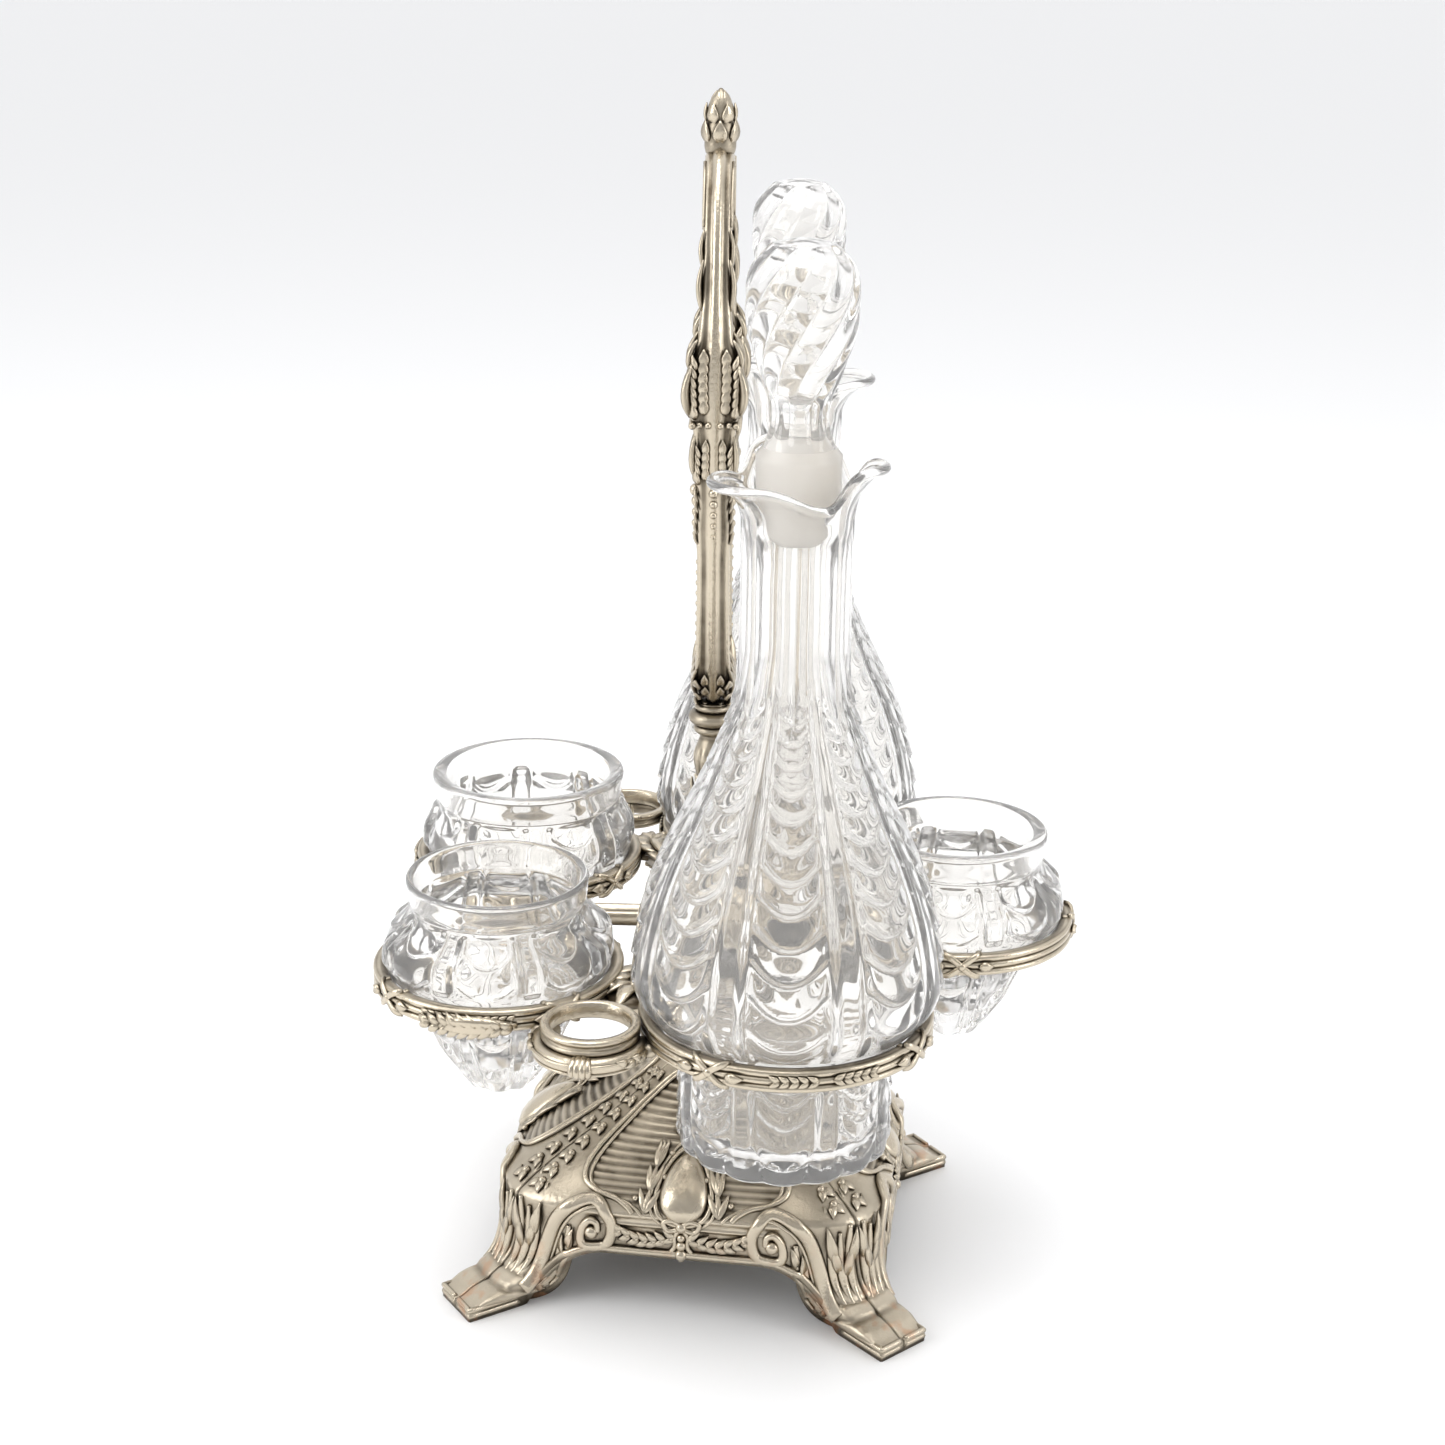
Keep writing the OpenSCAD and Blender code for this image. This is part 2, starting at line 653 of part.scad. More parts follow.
module cup(c, rim, wall) {
    foot = seat_point(cup_seat_r, -2.2);
    top = seat_point(cup_seat_r, seat_h + 0.4);
    rim_z = cup_z + cup_h;
    waist = rim - 1;
    outer = concat([[0, cup_z], [8, cup_z]],
        spline([[9.4, cup_z + 0.8], [13, cup_z + 6], [16.4, cup_z + 12.5], [19.6, cup_z + 20],
                [foot[0] - 2.6, foot[1] - 2.6]], 4),
        [foot, top],
        spline([[top[0] + 1.2, ring_top_z + 3.2], [mix(top[0], waist, 0.35), ring_top_z + 7.6],
                [waist, rim_z - 11.5], [rim - 0.4, rim_z - 5], [rim, rim_z - 0.6]], 4));
    inner = concat([[rim - 0.6, rim_z], [rim - wall, rim_z]],
        spline([[rim - wall - 0.3, rim_z - 2], [rim - wall - 0.8, rim_z - 12],
                [rim - wall + 0.4, ring_top_z + 4], [foot[0] - 4.4, foot[1]],
                [14.5, cup_z + 21], [9.5, cup_z + 13], [5, cup_z + 9]], 4),
        [[0, cup_z + 8]]);
    color(glass)
    translate([c[0], c[1], 0])
    rotate_extrude($fn = turned)
    polygon(concat(outer, inner));
}

module bottle_left() { bottle(bottle_at(-1)); }
module bottle_right() { bottle(bottle_at(1)); }
module stopper_left() { stopper(bottle_at(-1)); }
module stopper_right() { stopper(bottle_at(1)); }
module cup_front() { cup(front_at, rim_front, rim_wall_thick); }
module cup_back_left() { cup(cup_at(-1), rim_back_left, rim_wall_thin); }
module cup_back_right() { cup(cup_at(1), rim_back_right, rim_wall_thick); }

base_panel_right();
base_panel_back();
base_panel_left();
base_panel_front();
base_washer();
tie_nut();
tie_rod();
column();
tray_hub();
tray_arm_front_left();
tray_arm_front_right();
tray_arm_left();
tray_arm_right();
tray_arm_back();
bottle_ring_left();
bottle_ring_right();
cup_ring_front();
cup_ring_back_left();
cup_ring_back_right();
stopper_rest_left();
stopper_rest_right();
rest_bar_left();
rest_bar_right();
rest_clasp_left();
rest_clasp_right();
rest_leaf_left();
rest_leaf_right();
handle_stem();
handle_knop();
handle_loop();
handle_finial();
bottle_left();
bottle_right();
stopper_left();
stopper_right();
cup_front();
cup_back_left();
cup_back_right();
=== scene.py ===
"""Looks of a table cruet set: aged silver stand, pressed glass bottles, stoppers and cups.

Every length in the helpers is in millimetres; a piece is scaled to metres when it is built.
"""

import math

import bpy
import numpy as np
from mathutils import Matrix, Vector


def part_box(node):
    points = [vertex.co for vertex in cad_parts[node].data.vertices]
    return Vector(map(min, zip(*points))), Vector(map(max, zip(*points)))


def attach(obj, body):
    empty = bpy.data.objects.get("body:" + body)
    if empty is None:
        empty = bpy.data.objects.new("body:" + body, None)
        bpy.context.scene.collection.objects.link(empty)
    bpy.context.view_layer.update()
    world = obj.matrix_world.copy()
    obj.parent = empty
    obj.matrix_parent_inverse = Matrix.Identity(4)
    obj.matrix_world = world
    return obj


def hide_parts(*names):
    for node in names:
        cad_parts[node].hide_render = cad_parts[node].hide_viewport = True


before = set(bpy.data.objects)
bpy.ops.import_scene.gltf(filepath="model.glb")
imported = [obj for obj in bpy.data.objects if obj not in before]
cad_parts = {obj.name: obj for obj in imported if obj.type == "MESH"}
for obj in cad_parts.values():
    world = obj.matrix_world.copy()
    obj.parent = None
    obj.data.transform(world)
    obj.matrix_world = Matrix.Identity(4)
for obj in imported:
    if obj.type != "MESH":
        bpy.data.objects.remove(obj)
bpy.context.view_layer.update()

MM = 0.001
TAU = 2 * math.pi

# ---------------------------------------------------------------- named sizes
BASE_HALF_X = 48.0
BASE_HALF_Y = 55.0
BASE_TOP_Z = 60.0
BAND_TOP_Z = 31.0
BAND_LOW_Z = 18.0
BASE_WALL = 2.6
TOE_REACH = 20.0
TOE_WIDTH = 16.8
TOE_HEIGHT = 3.5
TOE_LENGTH = 18.0
BASE_TURN = math.radians(-7)
ARCH_START = 0.45
TOE_INNER = 0.68
TOE_OUTER = 0.86
TOP_LEVEL = 0.2
ROOF_INSET = 0.055
PAD_REACH = 0.145
ROOF_PAD = 3.5


def node_box(node):
    """Lowest and highest corner of a CAD node in millimetres."""
    low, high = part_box(node)
    return np.array(low) / MM, np.array(high) / MM


def node_centre(node):
    """Middle of the box of a CAD node."""
    low, high = node_box(node)
    return (low + high) / 2


def node_height(node):
    """Lowest and highest level of a CAD node."""
    low, high = node_box(node)
    return low[2], high[2]


# ---------------------------------------------------------------- mesh tools


class Piece:
    """Points, faces, relief and material numbers of one piece while it is put together."""

    def __init__(self):
        self.points = []
        self.faces = []
        self.relief = []
        self.materials = []
        self.count = 0

    def grid(self, points, relief=0.6, wrap=False, flip=False, material=0):
        """Adds a grid of points with rows and columns; wrap closes each row into a loop."""
        points = np.asarray(points, float)
        rows, cols = points.shape[:2]
        index = self.count + np.arange(rows * cols).reshape(rows, cols)
        right = np.roll(index, -1, axis=1) if wrap else index[:, 1:]
        left = index if wrap else index[:, :-1]
        quads = np.stack([left[:-1], right[:-1], right[1:], left[1:]], axis=-1).reshape(-1, 4)
        if flip:
            quads = quads[:, ::-1]
        self.points.append(points.reshape(-1, 3))
        self.relief.append(np.broadcast_to(relief, (rows, cols)).reshape(-1).astype(float))
        self.faces.append(quads)
        numbers = np.broadcast_to(np.asarray(material, int), rows - 1)
        self.materials.append(np.repeat(numbers, len(quads) // (rows - 1)))
        self.count += rows * cols
        return index

    def cap(self, loop, centre, relief=0.6, flip=False, material=0):
        """Closes a loop of point numbers with a fan to a new centre point."""
        self.points.append(np.asarray(centre, float).reshape(1, 3))
        self.relief.append(np.array([float(relief)]))
        hub = self.count
        self.count += 1
        nxt = np.roll(loop, -1)
        tris = np.stack([loop, nxt, np.full(len(loop), hub), np.full(len(loop), -1)], axis=-1)
        if flip:
            tris = tris[:, [1, 0, 2, 3]]
        self.faces.append(tris)
        self.materials.append(np.full(len(tris), material))

    def shell(self, outer, inner, relief=0.6):
        """Closed sheet between an outer and an inner grid of the same size."""
        a = self.grid(outer, relief)
        b = self.grid(inner, 0.25, flip=True)
        for p, q, flip in ((a[0], b[0], False), (a[-1], b[-1], True),
                           (a[:, 0], b[:, 0], True), (a[:, -1], b[:, -1], False)):
            strip = np.stack([q[:-1], q[1:], p[1:], p[:-1]], axis=-1)
            if flip:
                strip = strip[:, ::-1]
            self.faces.append(strip)
            self.materials.append(np.zeros(len(strip), int))

    def sweep(self, path, normals, width, height, crease=0.0, sides=8, closed=False):
        """Bead, leaf or rod along a path that lies on a surface with these normals."""
        path = np.asarray(path, float)
        n = len(path)
        normals = unit(np.broadcast_to(np.asarray(normals, float), path.shape))
        if closed:
            tangents = unit(np.roll(path, -1, axis=0) - np.roll(path, 1, axis=0))
        else:
            tangents = unit(np.gradient(path, axis=0))
        side = unit(np.cross(tangents, normals))
        up = np.cross(side, tangents)
        width = np.broadcast_to(width, n)[:, None, None]
        height = np.broadcast_to(height, n)[:, None, None]
        a = np.arange(sides) * TAU / sides
        c, s = np.cos(a), np.sin(a)
        lift = s * (1 - crease * np.clip(1 - np.abs(c) * 2.2, 0, 1) * (s > 0))
        rings = (path[:, None] + side[:, None] * width * c[None, :, None]
                 + up[:, None] * height * lift[None, :, None])
        # the side of a bead facing its surface gets a low level, which the silver paints dark as painted
        # shade under it
        relief = 0.62 + 0.38 * np.clip(lift, -1, 1)
        if closed:
            self.grid(np.concatenate([rings, rings[:1]]), relief, wrap=True)
        else:
            index = self.grid(rings, relief, wrap=True)
            self.cap(index[0], path[0], 0.5, flip=True)
            self.cap(index[-1], path[-1], 0.5)

    def leaf(self, base, tip, normal, width, height, bend=0.0, crease=0.55, steps=9):
        """Pointed leaf with a centre vein, from base to tip, bent up along the normal."""
        t = np.linspace(0, 1, steps)
        normal = unit(np.asarray(normal, float))
        path = base + np.outer(t, np.asarray(tip, float) - base)
        path = path + np.outer(np.sin(math.pi * t), normal) * bend
        profile = np.clip(np.sin(math.pi * np.clip(t, 0.04, 0.97) ** 0.75), 0.08, 1)
        self.sweep(path, normal, width * profile, height * np.sqrt(profile), crease, 8)

    def ball(self, centre, radius, normal=(0, 0, 1), squash=1.0, sides=10, rows=6):
        """Berry or boss: a sphere, flattened along the normal."""
        z = unit(np.asarray(normal, float))
        x = unit(np.cross(z, [0.31, 0.83, 0.46]))
        y = np.cross(z, x)
        lat = np.linspace(-math.pi / 2, math.pi / 2, rows + 2)[1:-1]
        a = np.arange(sides) * TAU / sides
        ring = (np.cos(a)[:, None] * x + np.sin(a)[:, None] * y) * radius
        rings = [centre + ring * math.cos(b) + z * radius * squash * math.sin(b) for b in lat]
        # low level on the side toward the surface, painted dark by the silver as shade under the ball
        index = self.grid(rings, np.linspace(0.3, 1, rows)[:, None], wrap=True)
        self.cap(index[0], centre - z * radius * squash, 0.3, flip=True)
        self.cap(index[-1], centre + z * radius * squash, 1.0)

    def cast(self, name, node):
        """Makes a silver piece of the stand."""
        return self.build(name, "stand", [SILVER], "aged_silver", [node])

    def build(self, name, body, materials, slot, nodes):
        """Makes the Blender object, in metres, riding on its body and standing for its nodes."""
        points = np.concatenate(self.points) * MM
        faces = [tuple(int(i) for i in f if i >= 0) for f in np.concatenate(
            [f if f.shape[1] == 4 else np.pad(f, ((0, 0), (0, 1)), constant_values=-1)
             for f in self.faces])]
        mesh = bpy.data.meshes.new(name)
        mesh.from_pydata(points.tolist(), [], faces)
        # relief: 0 to 1 level per point, low in recesses, grooves and under beads; the silver materials
        # paint low levels dark, partly as tarnish and partly as painted shade
        mesh.attributes.new("relief", "FLOAT", "POINT").data.foreach_set(
            "value", np.concatenate(self.relief).astype(np.float32))
        for m in materials:
            mesh.materials.append(m)
        mesh.polygons.foreach_set("material_index", np.concatenate(self.materials).astype(np.int32))
        mesh.polygons.foreach_set("use_smooth", np.full(len(faces), True))
        mesh.validate()
        mesh.update()
        piece = bpy.data.objects.new(name, mesh)
        bpy.context.scene.collection.objects.link(piece)
        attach(piece, body)
        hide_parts(*nodes)
        return piece


def unit(v):
    v = np.asarray(v, float)
    return v / np.maximum(np.linalg.norm(v, axis=-1, keepdims=True), 1e-9)


def smooth_curve(points, steps=6, closed=False):
    """Catmull-Rom curve through a few points."""
    p = np.asarray(points, float)
    n = len(p)
    t = np.arange(steps) / steps
    out = []
    for i in range(n if closed else n - 1):
        if closed:
            a, b, c, d = (p[(i + k) % n] for k in (-1, 0, 1, 2))
        else:
            a, b, c, d = p[max(i - 1, 0)], p[i], p[i + 1], p[min(i + 2, n - 1)]
        for s in t:
            out.append(0.5 * (2 * b + (c - a) * s + (2 * a - 5 * b + 4 * c - d) * s ** 2
                              + (3 * b - a - 3 * c + d) * s ** 3))
    if not closed:
        out.append(p[-1])
    return np.array(out)


def mix(a, b, f):
    return a + (b - a) * f


def ramp(x, low, high):
    """Smooth step from 0 at low to 1 at high."""
    f = np.clip((np.asarray(x, float) - low) / (high - low), 0, 1)
    return f * f * (3 - 2 * f)


def around(radius, z, a):
    """Points at these radii and heights for every angle."""
    return np.stack([radius * np.cos(a), radius * np.sin(a), z + 0 * (radius + a)], -1)


def turned(points, centre, sides=96):
    """Grid of a turned shape around a vertical axis."""
    points = np.asarray(points, float)
    grid = around(points[:, :1], points[:, 1:], np.arange(sides) * TAU / sides)
    return grid + np.array([centre[0], centre[1], 0])


# ---------------------------------------------------------------- materials


def material(name, **sockets):
    """New node material with its Principled shader and a shortcut that adds linked nodes."""
    m = bpy.data.materials.new(name)
    m.use_nodes = True
    shader = m.node_tree.nodes["Principled BSDF"]
    for socket, value in sockets.items():
        shader.inputs[socket.replace("_", " ")].default_value = value

    def add(kind, values=None, **settings):
        node = m.node_tree.nodes.new(kind)
        for key, value in settings.items():
            setattr(node, key, value)
        for key, value in (values or {}).items():
            if isinstance(value, bpy.types.NodeSocket):
                m.node_tree.links.new(value, node.inputs[key])
            else:
                node.inputs[key].default_value = value
        return node

    def link(a, b):
        m.node_tree.links.new(a, b)

    return m, shader, add, link


def colours(add, factor, stops):
    """Colour ramp from a list of (place, grey or colour) stops."""
    node = add("ShaderNodeValToRGB", {0: factor})
    while len(node.color_ramp.elements) < len(stops):
        node.color_ramp.elements.new(0.5)
    for element, (place, colour) in zip(node.color_ramp.elements, stops):
        element.position = place
        element.color = (colour,) * 3 + (1,) if isinstance(colour, float) else (*colour, 1)
    return node.outputs[0]


def silver(name, bright, dark, roughness, copper=False):
    """Cast silver: polished on its high places and dark in its recesses, with fine pits; the dark recesses
    are partly tarnish and partly painted shade, and an occlusion node paints shade into the crevices.
    """
    m, shader, add, link = material(name, Metallic=1.0)
    place = add("ShaderNodeTexCoord").outputs["Object"]
    relief = add("ShaderNodeAttribute", attribute_name="relief").outputs["Fac"]
    cloud = add("ShaderNodeTexNoise", {"Vector": place, "Scale": 90.0, "Detail": 6.0}).outputs["Fac"]
    fine = add("ShaderNodeTexNoise", {"Vector": place, "Scale": 700.0, "Detail": 4.0}).outputs["Fac"]
    # painted shade: ambient occlusion darkens the colour in crevices, where shade would fall
    painted_crevice_shade = add("ShaderNodeAmbientOcclusion", {"Distance": 0.004}, samples=4).outputs["AO"]
    # relief level times the painted occlusion shade: open high places bright, recesses dark (partly
    # tarnish, partly painted shade)
    high = add("ShaderNodeMath", {0: relief, 1: painted_crevice_shade}, operation="MULTIPLY").outputs[0]
    drift = add("ShaderNodeMath", {0: cloud, 1: 0.7, 2: -0.35}, operation="MULTIPLY_ADD").outputs[0]
    level = add("ShaderNodeMath", {0: high, 1: drift}, operation="ADD", use_clamp=True).outputs[0]
    # the ramp paints low levels in the dark colour: tarnish and painted shade in the recesses
    colour = colours(add, level, [(0.1, dark), (0.42, tuple(mix(np.array(dark), np.array(bright), 0.62))),
                                  (0.75, bright)])
    if copper:
        z = add("ShaderNodeSeparateXYZ", {0: place}).outputs["Z"]
        low = add("ShaderNodeMapRange", {"Value": z, "From Min": 0.03, "From Max": 0.0}).outputs[0]
        spots = add("ShaderNodeTexNoise", {"Vector": place, "Scale": 160.0, "Detail": 3.0}).outputs["Fac"]
        spots = add("ShaderNodeMapRange", {"Value": spots, "From Min": 0.54, "From Max": 0.66}).outputs[0]
        amount = add("ShaderNodeMath", {0: low, 1: spots}, operation="MULTIPLY").outputs[0]
        amount = add("ShaderNodeMath", {0: amount, 1: 0.55}, operation="MULTIPLY").outputs[0]
        mixer = add("ShaderNodeMix", {"Factor": amount}, data_type="RGBA")
        link(colour, mixer.inputs["A"])
        mixer.inputs["B"].default_value = (0.5, 0.25, 0.13, 1)
        colour = mixer.outputs["Result"]
    link(colour, shader.inputs["Base Color"])
    rough = add("ShaderNodeMapRange", {"Value": level, "To Min": roughness + 0.22, "To Max": roughness})
    link(rough.outputs[0], shader.inputs["Roughness"])
    pits = add("ShaderNodeMath", {0: cloud, 1: fine}, operation="ADD").outputs[0]
    bump = add("ShaderNodeBump", {"Strength": 0.25, "Distance": 0.0006, "Height": pits})
    link(bump.outputs[0], shader.inputs["Normal"])
    return m


def glass(name, tint, roughness, waviness, haze):
    """Pressed glass with a soft wave left by the mould and a little haze from age."""
    m, shader, add, link = material(name, Transmission_Weight=1.0 - haze, IOR=1.5, Roughness=roughness,
                                    Base_Color=(*tint, 1))
    place = add("ShaderNodeTexCoord").outputs["Object"]
    wave = add("ShaderNodeTexNoise", {"Vector": place, "Scale": 60.0, "Detail": 2.0}).outputs["Fac"]
    bump = add("ShaderNodeBump", {"Strength": waviness, "Distance": 0.001, "Height": wave})
    link(bump.outputs[0], shader.inputs["Normal"])
    return m


# WARM_DARK is the colour of low relief and occluded crevices, partly tarnish and partly painted shade;
# WARM_BRIGHT is that of high places
WARM_BRIGHT = (0.56, 0.492, 0.385)
WARM_DARK = (0.075, 0.058, 0.038)
SILVER = silver("aged_silver", WARM_BRIGHT, WARM_DARK, 0.23)
BASE_SILVER = silver("silver_base_aged_painted_shade", WARM_BRIGHT, WARM_DARK, 0.24, copper=True)
DARK_METAL = silver("dark_metal", (0.24, 0.22, 0.19), (0.05, 0.045, 0.04), 0.4)
CLEAR_GLASS = glass("clear_glass", (0.985, 0.974, 0.955), 0.015, 0.1, 0.08)
STOPPER_GLASS = glass("stopper_glass", (0.985, 0.974, 0.955), 0.015, 0.06, 0.08)
FROSTED_GLASS = glass("frosted_plug", (0.91, 0.875, 0.82), 0.42, 0.35, 0.2)

# ---------------------------------------------------------------- base


def body_point(half_d, half_u, share, n):
    """Half of a rounded square seen from above, share 0 at its middle to 1 at its corner."""
    k = 2 ** (-1 / n)
    s = share * k
    return half_d * (1 - s ** n) ** (1 / n), half_u * s


def inside_share(inset):
    return 1 - inset / min(BASE_HALF_X, BASE_HALF_Y)


def low_point(half_d, half_u, m, inset):
    """Lower edge of a panel: arch in the middle, then the leg, then round the toe."""
    corner = np.array([half_d, half_u]) / math.hypot(half_d, half_u)
    side = np.array([corner[1], -corner[0]])
    corner_d, corner_u = body_point(half_d, half_u, np.array(1.0), 5)
    reach = math.hypot(corner_d, corner_u) + TOE_REACH
    end = corner * reach
    toe_out = end + side * (TOE_WIDTH / 2 - inset)
    toe_in = toe_out - corner * TOE_LENGTH
    back = end - corner * TOE_LENGTH
    k = inside_share(inset)
    arch = np.array(body_point(half_d * k, half_u * k, np.array(ARCH_START), 5))
    plain = np.stack(body_point(half_d * k, half_u * k, np.minimum(m, ARCH_START), 5), -1)
    e = np.clip((m - ARCH_START) / (TOE_INNER - ARCH_START), 0, 1)[..., None]
    xy = np.where(m[..., None] <= ARCH_START, plain, mix(arch, toe_in, e))
    z = np.where(m <= ARCH_START, BAND_LOW_Z, BAND_LOW_Z * (1 - e[..., 0] ** 2.2))
    if inset > 0:
        f = np.clip((m - TOE_INNER) / (1 - TOE_INNER), 0, 1)[..., None]
        return np.where(m[..., None] > TOE_INNER, mix(toe_in, back, f), xy), z
    f = np.clip((m - TOE_INNER) / (TOE_OUTER - TOE_INNER), 0, 1)[..., None]
    g = np.clip((m - TOE_OUTER) / (1 - TOE_OUTER), 0, 1)[..., None]
    xy = np.where(m[..., None] > TOE_INNER, mix(toe_in, toe_out, f), xy)
    return np.where(m[..., None] > TOE_OUTER, mix(toe_out, end, g), xy), z


def roof_rise(reach):
    return BAND_TOP_Z + (BASE_TOP_Z - BAND_TOP_Z) * (1 - (reach - TOP_LEVEL) / (1 - TOP_LEVEL)) ** 0.78


def band_point(half_d, half_u, m, p, inset, drop):
    k = inside_share(inset)
    top = np.stack(body_point(half_d * k, half_u * k, m, 5), -1)
    low, low_z = low_point(half_d, half_u, m, inset)
    leg = np.clip((m - ARCH_START) / (TOE_INNER - ARCH_START), 0, 1)
    out = (1 - np.cos(math.pi / 2 * p)) ** 1.6
    fall = mix(p, np.sin(math.pi / 2 * p), leg)
    edge = 0 if inset > 0 else mix(2, TOE_HEIGHT, leg)
    xy = mix(top, low, mix(p, out, leg)[..., None])
    return xy, mix(BAND_TOP_Z - drop, low_z + edge, fall)


class Panel:
    """One of the four cast sides of the base: q runs -1 to 1 across it, v runs 0 to 2 down it."""

    def __init__(self, turn, half_d, half_u):
        self.angle = BASE_TURN + math.radians(turn)
        self.half = (half_d, half_u)

    def place(self, xy, q, z):
        d, u = xy[..., 0], xy[..., 1] * np.where(q < 0, -1, 1)
        c, s = math.cos(self.angle), math.sin(self.angle)
        return np.stack([d * c - u * s, d * s + u * c, z + 0 * d], -1)

    def roof(self, m, f, reach):
        """Level section of the roof, nearly round at its top and square at its foot."""
        section = 2.1 + 2.9 * f ** 3
        s = m * 2 ** (-1 / section)
        ring = np.stack([self.half[0] * (1 - s ** section) ** (1 / section), self.half[1] * s], -1)
        return ring * reach[..., None]

    def point(self, q, v):
        """Outside surface at these shares."""
        q, v = np.broadcast_arrays(np.asarray(q, float), np.asarray(v, float))
        m = np.abs(q)
        f = np.clip(v, 0, 1)
        reach = mix(TOP_LEVEL, 1, f)
        roof = self.roof(m, f, reach)
        band, band_z = band_point(*self.half, m, np.clip(v - 1, 0, 1), 0, 0)
        xy = np.where((v <= 1)[..., None], roof, band)
        return self.place(xy, q, np.where(v <= 1, roof_rise(reach), band_z))

    def under(self, q, v):
        """Inside surface below the same place."""
        q, v = np.broadcast_arrays(np.asarray(q, float), np.asarray(v, float))
        m = np.abs(q)
        f = np.clip(v, 0, 1)
        reach = mix(TOP_LEVEL, 1, f)
        roof = self.roof(m, f, np.maximum(reach - ROOF_INSET, PAD_REACH))
        band, band_z = band_point(*self.half, m, np.clip(v - 1, 0, 1), BASE_WALL, BASE_WALL)
        z = np.minimum(roof_rise(reach) - BASE_WALL * 0.8, BASE_TOP_Z - ROOF_PAD)
        return self.place(np.where((v <= 1)[..., None], roof, band), q, np.where(v <= 1, z, band_z))

    def normal(self, q, v, step=0.004):
        across = self.point(q + step, v) - self.point(q - step, v)
        down = self.point(q, np.clip(v + step, 0, 2)) - self.point(q, np.clip(v - step, 0, 2))
        return unit(np.cross(down, across))

    def at_height(self, q, z):
        """Value of v where the panel has this height."""
        q, z = np.broadcast_arrays(np.asarray(q, float), np.asarray(z, float))
        low, high = np.zeros(q.shape), np.full(q.shape, 2.0)
        for _ in range(22):
            middle = (low + high) / 2
            above = self.point(q, middle)[..., 2] > z
            low = np.where(above, middle, low)
            high = np.where(above, high, middle)
        return (low + high) / 2

    def on(self, q, z, lift=0.0):
        """Points and normals on the panel at these shares and heights."""
        q = np.asarray(q, float)
        v = self.at_height(q, z)
        n = self.normal(q, v)
        return self.point(q, v) + n * lift, n

    def spot(self, q, z, lift):
        """One point and its normal."""
        points, normals = self.on([q], [z], lift)
        return points[0], normals[0]


def border_line(scale):
    """Share and height of the frame that runs down the ridge and along the band; scale 0 to 1."""
    points = [(0.16, 60), (0.62, 57.5), (0.77, 53), (0.80, 47), (0.78, 41.5), (0.70, 37.5),
              (0.55, 35.2), (0.42, 34.2), (0.33, 32.6), (0.29, 31.2)]
    return [(q - scale * 0.055, z - scale * 0.4) for q, z in points]


def field_share(q, z):
    """1 inside the framed field of a panel, 0 outside it, from the frame's own line."""
    line = smooth_curve(border_line(0.6), 8)
    edge = np.interp(z, line[::-1, 1], line[::-1, 0])
    return ramp(edge - np.abs(q), 0, 0.03) * ramp(z, 31, 32.5)


def base_panel(name, node, turn, half_d, half_u):
    panel = Panel(turn, half_d, half_u)
    piece = Piece()
    columns, roof_rows, band_rows = 168, 84, 56
    q = np.linspace(-1, 1, columns + 1)
    v = np.concatenate([np.linspace(0, 1, roof_rows + 1), 1 + np.linspace(0, 1, band_rows + 1)[1:]])
    qq, vv = np.meshgrid(q, v)
    outer = panel.point(qq, vv)
    normals = panel.normal(qq, vv)
    z = outer[..., 2]
    field = field_share(qq, z) * ramp(59.5 - z, 0, 1)
    comb = np.abs(np.sin(math.pi * z / 1.4)) ** 3
    ledge = np.exp(-((z - 30.6) / 0.9) ** 2) * ramp(0.62 - np.abs(qq), 0, 0.1)
    ledge_low = np.exp(-((z - 27.8) / 0.6) ** 2) * ramp(0.55 - np.abs(qq), 0, 0.1)
    seam = ramp(np.abs(qq), 0.985, 1.0)
    toe_step = np.exp(-((z - 5.6) / 0.5) ** 2) + np.exp(-((z - 9) / 0.5) ** 2)
    toe_step = ramp(np.abs(qq), 0.66, 0.72) * toe_step
    toe_crown = ramp(np.abs(qq), 0.70, 0.9) * ramp(vv, 1.4, 1.7) * (1 - ramp(vv, 1.86, 1.99))
    height = field * (0.45 * comb - 0.5) + 0.5 * ledge + 0.35 * ledge_low - 0.25 * seam - 0.5 * toe_step
    height = np.where(vv <= 0.001, 0, height + 1.7 * toe_crown)
    # recessed field, mitre seam and toe grooves get low levels, painted dark by the silver: partly tarnish,
    # partly painted shade
    relief = 0.66 + 0.3 * (ledge + ledge_low) - field * (0.42 - 0.45 * comb) - 0.35 * seam - 0.3 * toe_step
    outer = outer + normals * height[..., None]
    inner = panel.under(qq, vv)
    low, low_z = low_point(half_d, half_u, np.abs(q), 0)
    low_in, low_in_z = low_point(half_d, half_u, np.abs(q), BASE_WALL)
    outer = np.concatenate([outer, panel.place(low, q, low_z)[None]])
    inner = np.concatenate([inner, panel.place(low_in, q, low_in_z)[None]])
    relief = np.concatenate([np.clip(relief, 0.05, 1), np.full((1, columns + 1), 0.5)])
    piece.shell(outer, inner, relief)
    for side in (-1, 1):
        panel_ornaments(piece, panel, side)
    cabochon(piece, panel)
    tassel(piece, panel)
    return piece.build(name, "stand", [BASE_SILVER], "aged_silver", [node])


def line_on(panel, side, points, steps=6, lift=0.0):
    curve = smooth_curve(points, steps)
    return panel.on(side * curve[:, 0], curve[:, 1], lift)


